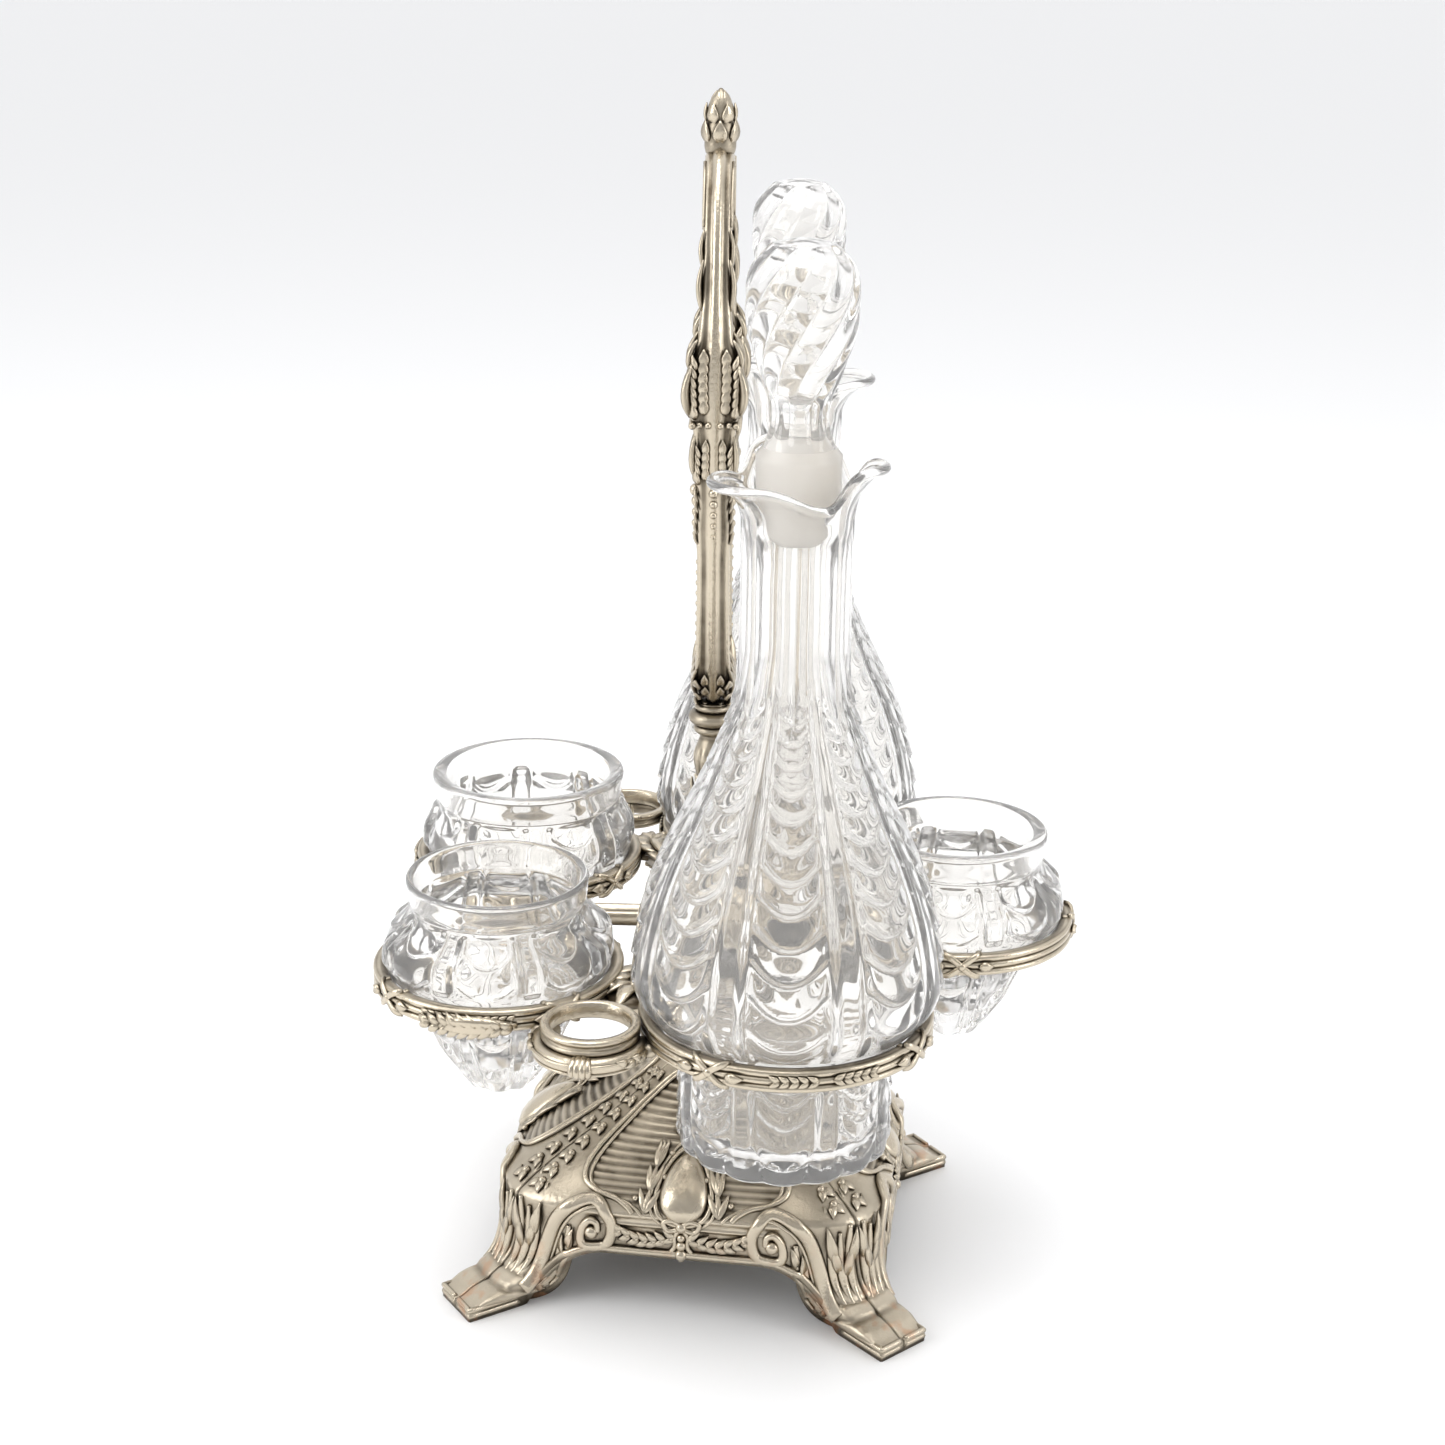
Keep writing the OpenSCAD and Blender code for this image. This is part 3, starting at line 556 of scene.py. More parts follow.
def panel_ornaments(piece, panel, side):
    """Raised work on one half of a panel."""
    for scale, radius in ((0, 0.9), (1, 0.55)):
        path, normal = line_on(panel, side, border_line(scale), 8, 0.2)
        piece.sweep(path, normal, radius, radius * 0.9, sides=8)
    edge = [(0, 18.9), (0.12, 18.9), (0.25, 18.9), (0.38, 18.9), (0.46, 18.2), (0.54, 16.2), (0.60, 12.4),
            (0.645, 8.4), (0.675, 5)]
    path, normal = line_on(panel, side, edge, 6, 0.3)
    piece.sweep(path, normal, 1.1, 1.3, sides=8)
    volute(piece, panel, side)
    garland(piece, panel, side)
    ridge_berries(piece, panel, side)
    leg_leaves(piece, panel, side)
    sprigs(piece, panel, side)


def volute(piece, panel, side):
    """C-scroll that rises from the toe, runs over the leg and curls in over the arch."""
    shape = [(0.80, 6), (0.80, 13), (0.785, 20), (0.74, 27), (0.66, 31.6), (0.56, 33.6), (0.47, 32),
             (0.415, 28), (0.415, 23.6), (0.45, 20.8), (0.51, 20.3), (0.555, 22.6), (0.56, 26),
             (0.53, 28.2), (0.49, 27.6), (0.478, 25)]
    path, normal = line_on(panel, side, shape, 5, 0.5)
    t = np.linspace(0, 1, len(path))
    piece.sweep(path, normal, mix(2.3, 0.9, t ** 1.2), mix(1.5, 1.3, t), crease=0.5, sides=10)
    eye, normal = panel.spot(side * 0.505, 24.6, 0.6)
    piece.ball(eye, 2.0, normal, 0.8, 14, 8)
    path, normal = line_on(panel, side, [(q - 0.045, z - 1.6) for q, z in shape[1:7]], 5, 0.3)
    piece.sweep(path, normal, 0.6, 0.7)


def garland(piece, panel, side):
    """Swag of husks on the upright band, each a pair of small leaves with a bead between."""
    count = 7
    for i in range(count):
        f = (i + 0.7) / count
        q = 0.36 * f + 0.015
        z = 25.6 - 2.6 * math.sin(math.pi * f) + 0.6 * f
        at, normal = panel.spot(side * q, z, 0.4)
        along = unit(panel.spot(side * (q + 0.05), z + 0.3, 0.4)[0] - at)
        across = np.cross(normal, along)
        for tilt in (-1, 1):
            tip = at + along * 3.0 + across * tilt * 2.1
            piece.leaf(at - along * 0.8, tip, normal, 1.05, 0.95, 0.5, steps=6)
        piece.ball(at + along * 0.4, 1.05, normal, 1.0, 8, 4)


def ridge_berries(piece, panel, side):
    """Leaves and berries that run down the ridge beside the mitre."""
    count = 9
    for i in range(count):
        f = i / (count - 1)
        z = mix(56.5, 35, f)
        at, normal = panel.spot(side * 0.93, z, 0.3)
        along = unit(panel.spot(side * 0.93, z - 2, 0.3)[0] - at)
        across = np.cross(normal, along)
        size = mix(0.8, 1.1, f)
        piece.ball(at + across * 0.4 * (-1) ** i, 1.1 * size, normal, 1.0, 9, 5)
        for tilt in (-1, 1):
            tip = at + along * 3.4 * size + across * tilt * 1.9 * size
            piece.leaf(at, tip, normal, 1.3 * size, 0.8, 0.3, steps=6)


def leg_leaves(piece, panel, side):
    """Long ribs that flow down the leg to the toe, under a fan of acanthus leaves at the knee."""
    def rib(points, width, height, crease=0.35):
        path, normal = line_on(panel, side, points, 6, 0.2)
        t = np.linspace(0, 1, len(path))
        profile = np.clip(np.sin(math.pi * np.clip(t, 0.06, 0.95) ** 0.7), 0.2, 1)
        piece.sweep(path, normal, width * profile, height * profile ** 0.5, crease, 10)

    rib([(0.85, 27), (0.86, 21), (0.865, 15), (0.88, 9.5), (0.90, 5.6)], 1.3, 1.1)
    rib([(0.91, 29), (0.91, 22), (0.915, 15), (0.925, 9.5), (0.945, 5.6)], 1.5, 1.3)
    rib([(0.965, 31), (0.96, 24), (0.96, 17), (0.965, 10), (0.975, 6)], 1.5, 1.4)
    rib([(0.715, 22), (0.715, 16), (0.725, 11), (0.75, 6.5)], 1.0, 0.9)
    rib([(0.66, 25.5), (0.655, 20.5), (0.66, 15.5), (0.675, 10.5), (0.69, 6.5)], 1.7, 1.2, 0.5)
    for base_q, base_z, tip_q, tip_z, width in (
            (0.94, 23, 0.985, 37, 2.4), (0.92, 22, 0.93, 37.5, 2.6), (0.90, 21, 0.875, 35, 2.4),
            (0.88, 19.5, 0.835, 31, 2.1), (0.96, 19, 0.995, 30, 2.0), (0.90, 16.5, 0.86, 25.5, 1.8),
            (0.93, 15.5, 0.965, 25, 1.8), (0.655, 18, 0.625, 25, 1.5), (0.67, 15, 0.70, 22.5, 1.5)):
        base, normal = panel.spot(side * base_q, base_z, 0.4)
        tip = panel.spot(side * tip_q, tip_z, 0.7)[0]
        piece.leaf(base, tip, normal, width * 0.8, width * 0.5, 0.8)
    toe_beads(piece, panel, side)


def toe_beads(piece, panel, side):
    """Two beads round the edge of the toe."""
    for z, radius in ((3.3, 0.8), (1.5, 0.7)):
        q = np.linspace(0.70, 0.985, 22)
        top = panel.point(side * q, 2.0)
        low, low_z = low_point(*panel.half, q, 0)
        base = panel.place(low, side * q, low_z)
        path = mix(base, top, min(z / TOE_HEIGHT, 1))
        path[:, 2] = z
        out = unit(np.cross(np.gradient(path, axis=0), [0, 0, 1])) * side
        if np.dot(out[11], path[11] * [1, 1, 0]) < 0:
            out = -out
        piece.sweep(path - out * 0.5, out, 0.9, radius, sides=8)


def sprigs(piece, panel, side):
    """Laurel sprig beside the cabochon."""
    for base_z, lean in ((31.5, 1.0), (36.0, 0.8), (40.5, 0.6)):
        for tilt in (-1, 0, 1):
            q = 0.215 + 0.01 * (base_z - 31) / 4
            at, normal = panel.spot(side * q, base_z, 0.3)
            tip = panel.spot(side * (q + 0.075 * tilt * lean + 0.012), base_z + 5.4, 0.5)[0]
            piece.leaf(at, tip, normal, 1.05, 0.9, 0.5, steps=7)
        berry, normal = panel.spot(side * (0.30 if base_z < 36 else 0.15), base_z + 3, 0.5)
        piece.ball(berry, 0.95, normal, 1.0, 8, 4)


def cabochon(piece, panel):
    """Oval boss in the middle of the roof with a rope frame and a small palmette above it."""
    centre_z, half_z = 36.8, 7.2
    half_q = 6.6 / panel.half[1] * 1.35
    a = np.linspace(0, TAU, 40, endpoint=False)

    def oval(share, lift):
        return panel.on(half_q * share * np.cos(a), centre_z + half_z * share * np.sin(a), lift)

    dome = ((1.0, -0.3), (0.96, 0.9), (0.85, 1.7), (0.62, 2.5), (0.34, 3.0), (0.08, 3.1))
    rings = [oval(share, lift)[0] for share, lift in dome]
    index = piece.grid(rings, np.array([0.3, 0.7, 0.85, 0.95, 1, 1])[:, None], wrap=True)
    piece.cap(index[-1], rings[-1].mean(axis=0), 1.0)
    piece.cap(index[0], oval(0.9, -1.6)[0].mean(axis=0), 0.2, flip=True)
    for share, radius in ((1.13, 0.75), (1.33, 0.5)):
        path, normal = oval(share, 0.2)
        piece.sweep(path, normal, radius, radius, closed=True)
    foot_z = centre_z + half_z * 1.35
    for i in range(7):
        angle = math.radians(-66 + 22 * i)
        base, normal = panel.spot(half_q * 0.5 * math.sin(angle), foot_z, 0.3)
        tip = panel.spot(half_q * 1.5 * math.sin(angle), min(foot_z + 5.2 * math.cos(angle), 57), 0.4)[0]
        piece.leaf(base, tip, normal, 1.0, 0.9, 0.5, steps=7)


def tassel(piece, panel):
    """Ribbon loops and a drop in the middle of the upright band."""
    for tilt in (-1, 1):
        loop = [(0.0, 28.8), (tilt * 0.05, 30.4), (tilt * 0.105, 29.6), (tilt * 0.075, 27.2), (0.0, 28.2)]
        path, normal = line_on(panel, 1, loop, 5, 0.7)
        piece.sweep(path, normal, 0.8, 0.7)
        tail = [(0, 28.2), (tilt * 0.04, 25.4), (tilt * 0.035, 22.6), (tilt * 0.06, 20.6)]
        path, normal = line_on(panel, 1, tail, 4, 0.6)
        piece.sweep(path, normal, 0.75, 0.6)
    lowest = 18.3
    for z, radius, squash in ((28.4, 1.7, 0.9), (25.2, 1.3, 1), (22.8, 1.6, 1), (19.9, 1.9, 1),
                              (17.2, 1.2, 1)):
        at, normal = panel.spot(0.0, max(z, lowest), 0.5)
        piece.ball(at + np.array([0, 0, z - max(z, lowest)]), radius, normal, squash, 12, 6)


for number, label in enumerate(("right", "back", "left", "front")):
    halves = (BASE_HALF_X, BASE_HALF_Y) if number % 2 == 0 else (BASE_HALF_Y, BASE_HALF_X)
    base_panel("cast_base_" + label, "base_panel_" + label, 90 * number, *halves)


# ---------------------------------------------------------------- glass

RING_TOP = node_box("bottle_ring_left")[1][2]
RING_LOW = node_box("bottle_ring_left")[0][2]
SEAT_SLOPE = 0.88
SEAT_HEIGHT = 2.5
SEAT_GAP = 0.3
RING_WIDTH = 4.7
PANELS = 8
RINGS = {"bottle_left": "bottle_ring_left", "bottle_right": "bottle_ring_right",
         "cup_front": "cup_ring_front", "cup_back_left": "cup_ring_back_left",
         "cup_back_right": "cup_ring_back_right",
         "rest_left": "stopper_rest_left", "rest_right": "stopper_rest_right"}
PLACES = {place: node_centre(ring if place.startswith("rest") else place)[:2] for place,
          ring in RINGS.items()}
RING_RADII = {place: (node_box(ring)[1] - node_box(ring)[0])[0] / 2 for place, ring in RINGS.items()}


def resample(points, count):
    """Same outline with its points spread evenly along it."""
    points = np.asarray(points, float)
    steps = np.linalg.norm(np.diff(points, axis=0), axis=1)
    at = np.concatenate([[0], np.cumsum(steps)])
    want = np.linspace(0, at[-1], count)
    return np.stack([np.interp(want, at, points[:, i]) for i in range(points.shape[1])], -1)


def panel_angle(a):
    """Angle from the middle of the nearest panel, in radians."""
    width = TAU / PANELS
    return (a + width / 2) % width - width / 2


def swags(a, z, radius, phase, height, half=0.26):
    """Stacked U-shaped folds within each panel, and a smooth rib between the panels."""
    across = panel_angle(a)
    share = np.clip(np.abs(across) / half, 0, 1)
    drop = 0.68 * radius * half * share ** 2
    turn = phase(z - drop) % 1.0
    fold = np.sin(math.pi * turn ** 0.55) + 0.3 * np.exp(-((turn - 0.1) / 0.05) ** 2)
    edge = np.abs(across)
    inside = 1 - ramp(edge, half - 0.035, half + 0.005)
    groove = np.exp(-((edge - half - 0.012) / 0.022) ** 2)
    rib = ramp(edge, half + 0.02, half + 0.075)
    return height * (inside * (0.95 * fold - 0.5) + 0.75 * rib - 0.55 * groove)


def seat_point(ring_radius, dz):
    return ring_radius - RING_WIDTH - SEAT_GAP + dz * SEAT_SLOPE, RING_TOP - SEAT_HEIGHT + dz


def closed_glass(rows, place):
    """One closed surface from the foot over the outside and the rim down to the inside."""
    points = np.concatenate(rows) + np.array([*PLACES[place], 0])
    piece = Piece()
    index = piece.grid(points, 0.5, wrap=True)
    piece.cap(index[0], points[0].mean(axis=0), flip=True)
    piece.cap(index[-1], points[-1].mean(axis=0))
    return piece


def bottle(name, place, lobes, turn):
    """Bottle with a panelled neck, swagged body and foot, and a lip of three lobes."""
    foot_z, lip_z = 67.2, 249.6
    foot_r, bulge_r, neck_r, bore_r, wall = 28.3, 39.7, 13.8, 10.75, 3.2
    seat = seat_point(RING_RADII[place], SEAT_HEIGHT + 0.8)
    body_h = lip_z - 12.5 - seat[1]
    body = [(bulge_r - 0.6, 0.05), (bulge_r, 0.093), (bulge_r - 2.7, 0.21), (bulge_r - 7.5, 0.317),
            (bulge_r - 14, 0.421), (neck_r + 5.9, 0.524), (neck_r + 1.5, 0.624), (neck_r, 0.725),
            (neck_r, 0.97)]
    body = [(r, seat[1] + body_h * f) for r, f in body]
    foot_dz = (foot_r - RING_RADII[place] + RING_WIDTH + SEAT_GAP) / SEAT_SLOPE
    foot_top = seat_point(RING_RADII[place], foot_dz)
    low = [(0.5, foot_z + 1.2), (18, foot_z + 1.0), (foot_r - 4, foot_z), (foot_r - 2, foot_z),
           (foot_r - 0.5, foot_z + 0.9), (foot_r, foot_z + 2.6), (foot_r, foot_top[1])]
    outer = np.concatenate([resample(low, 60), resample(np.concatenate([[foot_top], smooth_curve(
        [seat] + body, 8)]), 200)[1:]])
    sides = 288
    a = np.arange(sides) * TAU / sides
    a2, r2, z2 = np.broadcast_arrays(a, outer[:, :1], outer[:, 1:])
    shrink = 0.0577

    def phase(height):
        return -np.log(np.clip(1 - shrink * (height - 110) / 9.5, 0.2, 9)) / shrink

    def low_phase(height):
        return (height - 66) / 5.8

    upper = ramp(z2, RING_TOP + 0.6, RING_TOP + 5) * (1 - ramp(z2, 184, 194))
    lower = ramp(z2, foot_z + 3, foot_z + 6) * (1 - ramp(z2, RING_LOW - 7, RING_LOW - 4))
    amount = mix(0.85, 1.2, 1 - ramp(z2, 130, 186))
    carved = upper * swags(a2, z2, r2, phase, amount) + lower * (swags(a2, z2, r2, low_phase, 0.9) - 0.6)
    across = np.abs(panel_angle(a2))
    facet = (math.cos(math.pi / PANELS) / np.cos(math.pi / PANELS - across) - 1) * r2 * 1.1
    carved = carved + facet * ramp(z2, 176, 192) * (1 - ramp(z2, lip_z - 16, lip_z - 12))
    scallop = (1 - np.abs(np.cos(PANELS * a2))) * (1 - ramp(z2, foot_z + 1, foot_z + 7)) * ramp(r2, 24,
                                                                                                27.5)
    carved = carved - 1.3 * scallop
    radius = r2 + carved

    lip_dip = 10.4
    lobe, height = np.zeros(sides), np.zeros(sides)
    for angle, rise, reach, width in lobes:
        away = np.abs((a - math.radians(angle + turn) + math.pi) % TAU - math.pi)
        lobe += (reach * np.exp(-(away / (0.72 * width)) ** 2)) ** 4
        height += ((lip_dip + rise) * np.exp(-(away / width) ** 5)) ** 4
    rim_r = neck_r + 0.9 + 6.4 * lobe ** 0.25
    rim_z = lip_z - lip_dip + height ** 0.25
    start_r, start_z = radius[-1], z2[-1]
    rows = [around(radius, z2, a)]

    def ring(rr, zz):
        rows.append(around(rr, zz, a)[None])

    for f in np.linspace(0, 1, 16)[1:]:
        ring(start_r + (rim_r - start_r) * f ** 2.1, start_z + (rim_z - 1.2 - start_z) * f ** 0.92)
    for angle in np.linspace(-60, 190, 9):
        ring(rim_r + 0.9 + 1.25 * math.cos(math.radians(angle)),
             rim_z + 1.25 * math.sin(math.radians(angle)))
    inner_top = lip_z - 18
    for f in np.linspace(0, 1, 14)[1:]:
        ring(mix(rim_r - 0.5, bore_r + 0.3, 1 - (1 - f) ** 2.1), mix(rim_z - 0.8, inner_top, f ** 1.1))
    inner = [(bore_r - 0.5, lip_z - 20), (bore_r - 1.9, lip_z - 27)]
    inner = np.concatenate([inner, smooth_curve(
        [(bore_r - 1.9, lip_z - 49)] + [(rr - wall, zz) for rr, zz in body[6:0:-1]]
        + [(seat[0] - wall, seat[1] + 1), (foot_r - wall, RING_TOP - SEAT_HEIGHT + foot_dz - 2),
           (foot_r - wall, foot_z + 10)], 6),
        [(foot_r - wall - 2.4, foot_z + 5.2), (0.5, foot_z + 4.8)]])
    for rr, zz in resample(inner, 90):
        ring(rr, zz)
    closed_glass(rows, place).build(name, place, [CLEAR_GLASS], "clear_glass", [place])


def stopper(name, node, place, hand):
    """Stopper with a frosted plug and a hollow, swirled head."""
    base, top_z, plug_r = 228.2, 250.2, 10.45
    head_h, head_r = 51.0, 13.4
    low = [(0.4, base), (plug_r - 3.4, base), (plug_r - 1.9, base + 1.2), (plug_r - 0.9, base + 4),
           (plug_r - 0.2, top_z - 12), (plug_r, top_z - 0.2)]
    high = [(plug_r - 1.6, 1.8), (7.3, 6), (7.0, 11.5), (9.2, 18), (12.2, 27), (head_r, 36.5), (12.0, 44.5),
            (7.5, 49.6)]
    high = smooth_curve([(r, top_z + dz) for r, dz in high], 8)
    high = np.concatenate([high, [(3.5, top_z + 50.6), (0.4, top_z + head_h)]])
    plug, crown = resample(low, 26), resample(high, 120)
    outline = np.concatenate([plug, crown])
    sides = 160
    a = np.arange(sides) * TAU / sides
    r, z = outline[:, :1], outline[:, 1:]
    twist = hand * np.clip((z - top_z - 13) / head_h, 0, 1) * math.radians(155)
    wave = np.abs(np.cos((a[None] - twist) * 5 + 0 * z))
    neck = ramp(z, top_z + 1.5, top_z + 5) * (1 - ramp(z, top_z + 12, top_z + 17))
    head = ramp(z, top_z + 12, top_z + 19) * (1 - ramp(z, top_z + 48.5, top_z + 51))
    facets = np.abs(np.cos(a[None] * 4 + 0 * z))
    radius = r * (1 + head * (0.08 * wave ** 0.8 - 0.055) - neck * 0.1 * (1 - facets))
    points = around(radius, z, a) + np.array([*PLACES[place], 0])
    piece = Piece()
    numbers = np.concatenate([np.ones(len(plug)), np.zeros(len(crown) - 1)]).astype(int)
    index = piece.grid(points, 0.5, wrap=True, material=numbers)
    piece.cap(index[0], points[0].mean(axis=0), flip=True, material=1)
    piece.cap(index[-1], points[-1].mean(axis=0))
    hollow = [(0.3, 13), (3.0, 15), (5.6, 21), (8.4, 30), (9.4, 37), (7.8, 43), (3.4, 46.4), (0.3, 47)]
    hollow = smooth_curve([(r, top_z + dz) for r, dz in hollow], 6)
    inner = turned(resample(hollow, 44), PLACES[place], 64)
    index = piece.grid(inner, 0.5, wrap=True, flip=True)
    piece.cap(index[0], inner[0].mean(axis=0))
    piece.cap(index[-1], inner[-1].mean(axis=0), flip=True)
    piece.build(name, node, [STOPPER_GLASS, FROSTED_GLASS], "stopper_glass", [node])


def cup(name, place, rim, wall, turn):
    """Open cup with a plain rim, a swagged shoulder and a lobed, pointed foot."""
    foot_z, height = 69.2, 61.0
    ring_r = RING_RADII[place]
    foot = seat_point(ring_r, -2.2)
    top = seat_point(ring_r, 1.7)
    rim_z = foot_z + height
    waist = rim - 1
    shoulder = max(top[0] + 0.4, rim + 1.6)
    outer = np.concatenate([
        [(0.4, foot_z), (8, foot_z)],
        smooth_curve([(9.4, foot_z + 0.8), (13, foot_z + 6), (16.4, foot_z + 12.5), (19.6, foot_z + 20),
                      (foot[0] - 2.6, foot[1] - 2.6)], 6), [foot, top],
        smooth_curve([(shoulder - 0.2, RING_TOP + 0.6), (shoulder, RING_TOP + 4.0),
                      (mix(shoulder, waist, 0.12), RING_TOP + 8.2),
                      (mix(shoulder, waist, 0.62), RING_TOP + 11.6), (waist, rim_z - 10.0),
                      (rim - 0.4, rim_z - 5), (rim, rim_z - 1.0)], 6),
        [(rim - 0.3, rim_z - 0.3), (rim - 0.9, rim_z)]])
    outer = resample(outer, 190)
    inner = np.concatenate([[(rim - wall + 0.7, rim_z), (rim - wall + 0.1, rim_z - 0.5)],
                            smooth_curve([(rim - wall - 0.3, rim_z - 2), (rim - wall - 0.8, rim_z - 12),
                                          (rim - wall + 0.4, RING_TOP + 4), (foot[0] - 4.4, foot[1]),
                                          (14.5, foot_z + 21), (9.5, foot_z + 13), (5, foot_z + 9)], 6),
                            [(0.4, foot_z + 8)]])
    inner = resample(inner, 70)
    sides = 240
    a = np.arange(sides) * TAU / sides
    a2, r, z = np.broadcast_arrays(a + turn, outer[:, :1], outer[:, 1:])
    upper = ramp(z, RING_TOP + 0.8, RING_TOP + 3.5) * (1 - ramp(z, rim_z - 10.5, rim_z - 8.5))
    lower = ramp(z, foot_z + 3, foot_z + 7) * (1 - ramp(z, RING_LOW - 3, RING_LOW))

    def phase(height):
        return (height - RING_TOP - 0.5) / 8.2

    def low_phase(height):
        return (height - foot_z - 2) / 7.2

    rib = ramp(np.abs(panel_angle(a2)), 0.28, 0.36)
    carved = upper * (swags(a2, z, r * 0.8, phase, 1.3) - 0.2 + 0.5 * rib)
    carved = carved + lower * (swags(a2, z, r, low_phase, 1.3) - 0.5)
    band = ramp(z, rim_z - 9, rim_z - 8.2)
    carved = carved - band * 0.25 * np.exp(-((z - rim_z + 8) / 0.8) ** 2)
    lobed = (1 - np.abs(np.cos(PANELS / 2 * a2))) * (1 - ramp(z, foot_z + 5, foot_z + 14))
    carved = carved - 1.1 * lobed * ramp(r, 5, 9)
    rows = [around(r + carved, z, a), turned(inner, (0, 0), sides)]
    closed_glass(rows, place).build(name, place, [CLEAR_GLASS], "clear_glass", [place])


TREFOIL = ((118, -5.4, 1.0, 1.12), (257, -1.6, 0.84, 0.68), (5, 0.4, 0.8, 0.85))
bottle("glass_bottle_left", "bottle_left", TREFOIL, 0)
bottle("glass_bottle_right", "bottle_right", TREFOIL, 150)
stopper("glass_stopper_left", "stopper_left", "bottle_left", 1)
stopper("glass_stopper_right", "stopper_right", "bottle_right", 1)
cup("glass_cup_front", "cup_front", 25.3, 4.0, 0.1)
cup("glass_cup_back_left", "cup_back_left", 24.3, 1.9, 0.0)
cup("glass_cup_back_right", "cup_back_right", 28.4, 4.0, 0.2)


# ---------------------------------------------------------------- rings and rests


def revolve(piece, outline, centre, sides, relief):
    """Closed outline of (radius, height) turned into a ring."""
    outline = np.asarray(outline, float)
    grid = turned(np.concatenate([outline, outline[:1]]), centre, sides)
    piece.grid(grid, np.append(relief, relief[0])[:, None], wrap=True)


def at_ring(centre, radius, angle, z):
    """Points at this angle, radius and height around a vertical axis."""
    angle = np.asarray(angle, float)
    x, y = centre[0] + radius * np.cos(angle), centre[1] + radius * np.sin(angle)
    return np.stack([x, y, z + 0 * angle], -1)


def outward(angle):
    angle = np.asarray(angle, float)
    return np.stack([np.cos(angle), np.sin(angle), 0 * angle], -1)


def reeded_outline(outer_r):
    """Section of a glass ring: seat cone inside, three round reeds outside."""
    reed = (RING_TOP - RING_LOW) / 6
    inner_r = outer_r - RING_WIDTH
    points, relief = [], []
    for i in range(3):
        for a in np.linspace(-80, 80, 9):
            points.append((outer_r - reed + reed * math.cos(math.radians(a)),
                           RING_LOW + reed * (2 * i + 1) + reed * math.sin(math.radians(a))))
            relief.append(0.25 + 0.7 * math.cos(math.radians(a)))
    points += [(outer_r - 1.6, RING_TOP), (inner_r + SEAT_HEIGHT * SEAT_SLOPE, RING_TOP),
               (inner_r, RING_TOP - SEAT_HEIGHT), (inner_r, RING_LOW + 0.6), (inner_r + 0.6, RING_LOW),
               (outer_r - 1.6, RING_LOW)]
    return points, np.array(relief + [0.85, 0.8, 0.6, 0.4, 0.5, 0.4])


def ribbon_cross(piece, centre, outer_r, angle):
    """Two ribbons crossed over the reeds, with a knot and a small leaf on each side."""
    middle = (RING_TOP + RING_LOW) / 2
    half = (RING_TOP - RING_LOW) / 2
    reach = 5.2 / outer_r
    for tilt in (-1, 1):
        t = np.linspace(-1, 1, 13)
        a = angle + tilt * reach * t
        bulge = outer_r + 0.25 - 1.5 * np.abs(t) ** 5
        path = at_ring(centre, bulge, a, middle + half * 1.02 * np.sin(t * math.pi / 2))
        piece.sweep(path, outward(a), 0.95, 0.75, crease=0.4)
        fold = np.linspace(outer_r - 1.4, outer_r - 2.9, 5)
        top = at_ring(centre, fold, np.full(5, angle + tilt * reach), RING_TOP)
        piece.sweep(top, (0, 0, 1), 0.9, 0.5)
        tip = at_ring(centre, outer_r + 0.3, angle + tilt * (reach + 0.11), middle)
        base = at_ring(centre, outer_r + 0.2, angle + tilt * reach * 0.9, middle)
        piece.leaf(base, tip, outward(angle), 1.5, 1.1, 0.5)
    piece.ball(at_ring(centre, outer_r + 0.3, angle, middle), 1.25, outward(angle), 0.7, 10, 5)


def glass_ring(place, start):
    """Ring for a bottle or a cup, with four ribbon crosses and two sprigs from start."""
    centre, outer_r = PLACES[place], RING_RADII[place]
    piece = Piece()
    points, relief = reeded_outline(outer_r)
    revolve(piece, points, centre, 216, relief)
    for i in range(4):
        ribbon_cross(piece, centre, outer_r, math.radians(start + 90 * i))
    for tilt in (-1, 1):
        for i in range(5):
            a = math.radians(start + 45) + tilt * (0.05 + 0.062 * i)
            base = at_ring(centre, outer_r + 0.1, a, RING_TOP - 2.6)
            for lift in (-1.5, 1.5):
                tip = at_ring(centre, outer_r + 0.5, a + tilt * 0.075, RING_TOP - 2.6 + lift)
                piece.leaf(base, tip, outward(a), 0.8, 0.8, 0.3, steps=6)
    piece.cast("reeded_" + RINGS[place], RINGS[place])


def stopper_rest(label):
    """Small plain ring with a bead at its top and bottom edge."""
    node = RINGS["rest_" + label]
    centre, outer_r = PLACES["rest_" + label], RING_RADII["rest_" + label]
    z0, z1 = node_height(node)
    inner_r = 10.4
    outline = [(inner_r, z0 + 0.4), (inner_r + 0.4, z0), (outer_r - 1.2, z0)]
    outline += [(outer_r - 1.0 + 0.8 * math.cos(a), z0 + 1.0 + 0.9 * math.sin(a))
                for a in np.linspace(-1.4, 1.4, 8)]
    outline += [(outer_r - 0.9, z0 + 2.1), (outer_r - 0.9, z1 - 1.9)]
    outline += [(outer_r - 0.9 + 0.9 * math.cos(a), z1 - 0.95 + 0.9 * math.sin(a))
                for a in np.linspace(-1.4, 1.5, 8)]
    outline += [(inner_r + 0.4, z1), (inner_r, z1 - 0.4)]
    piece = Piece()
    revolve(piece, outline, centre, 96, np.linspace(0.5, 0.9, len(outline)))
    piece.cast("rest_ring_" + label, node)


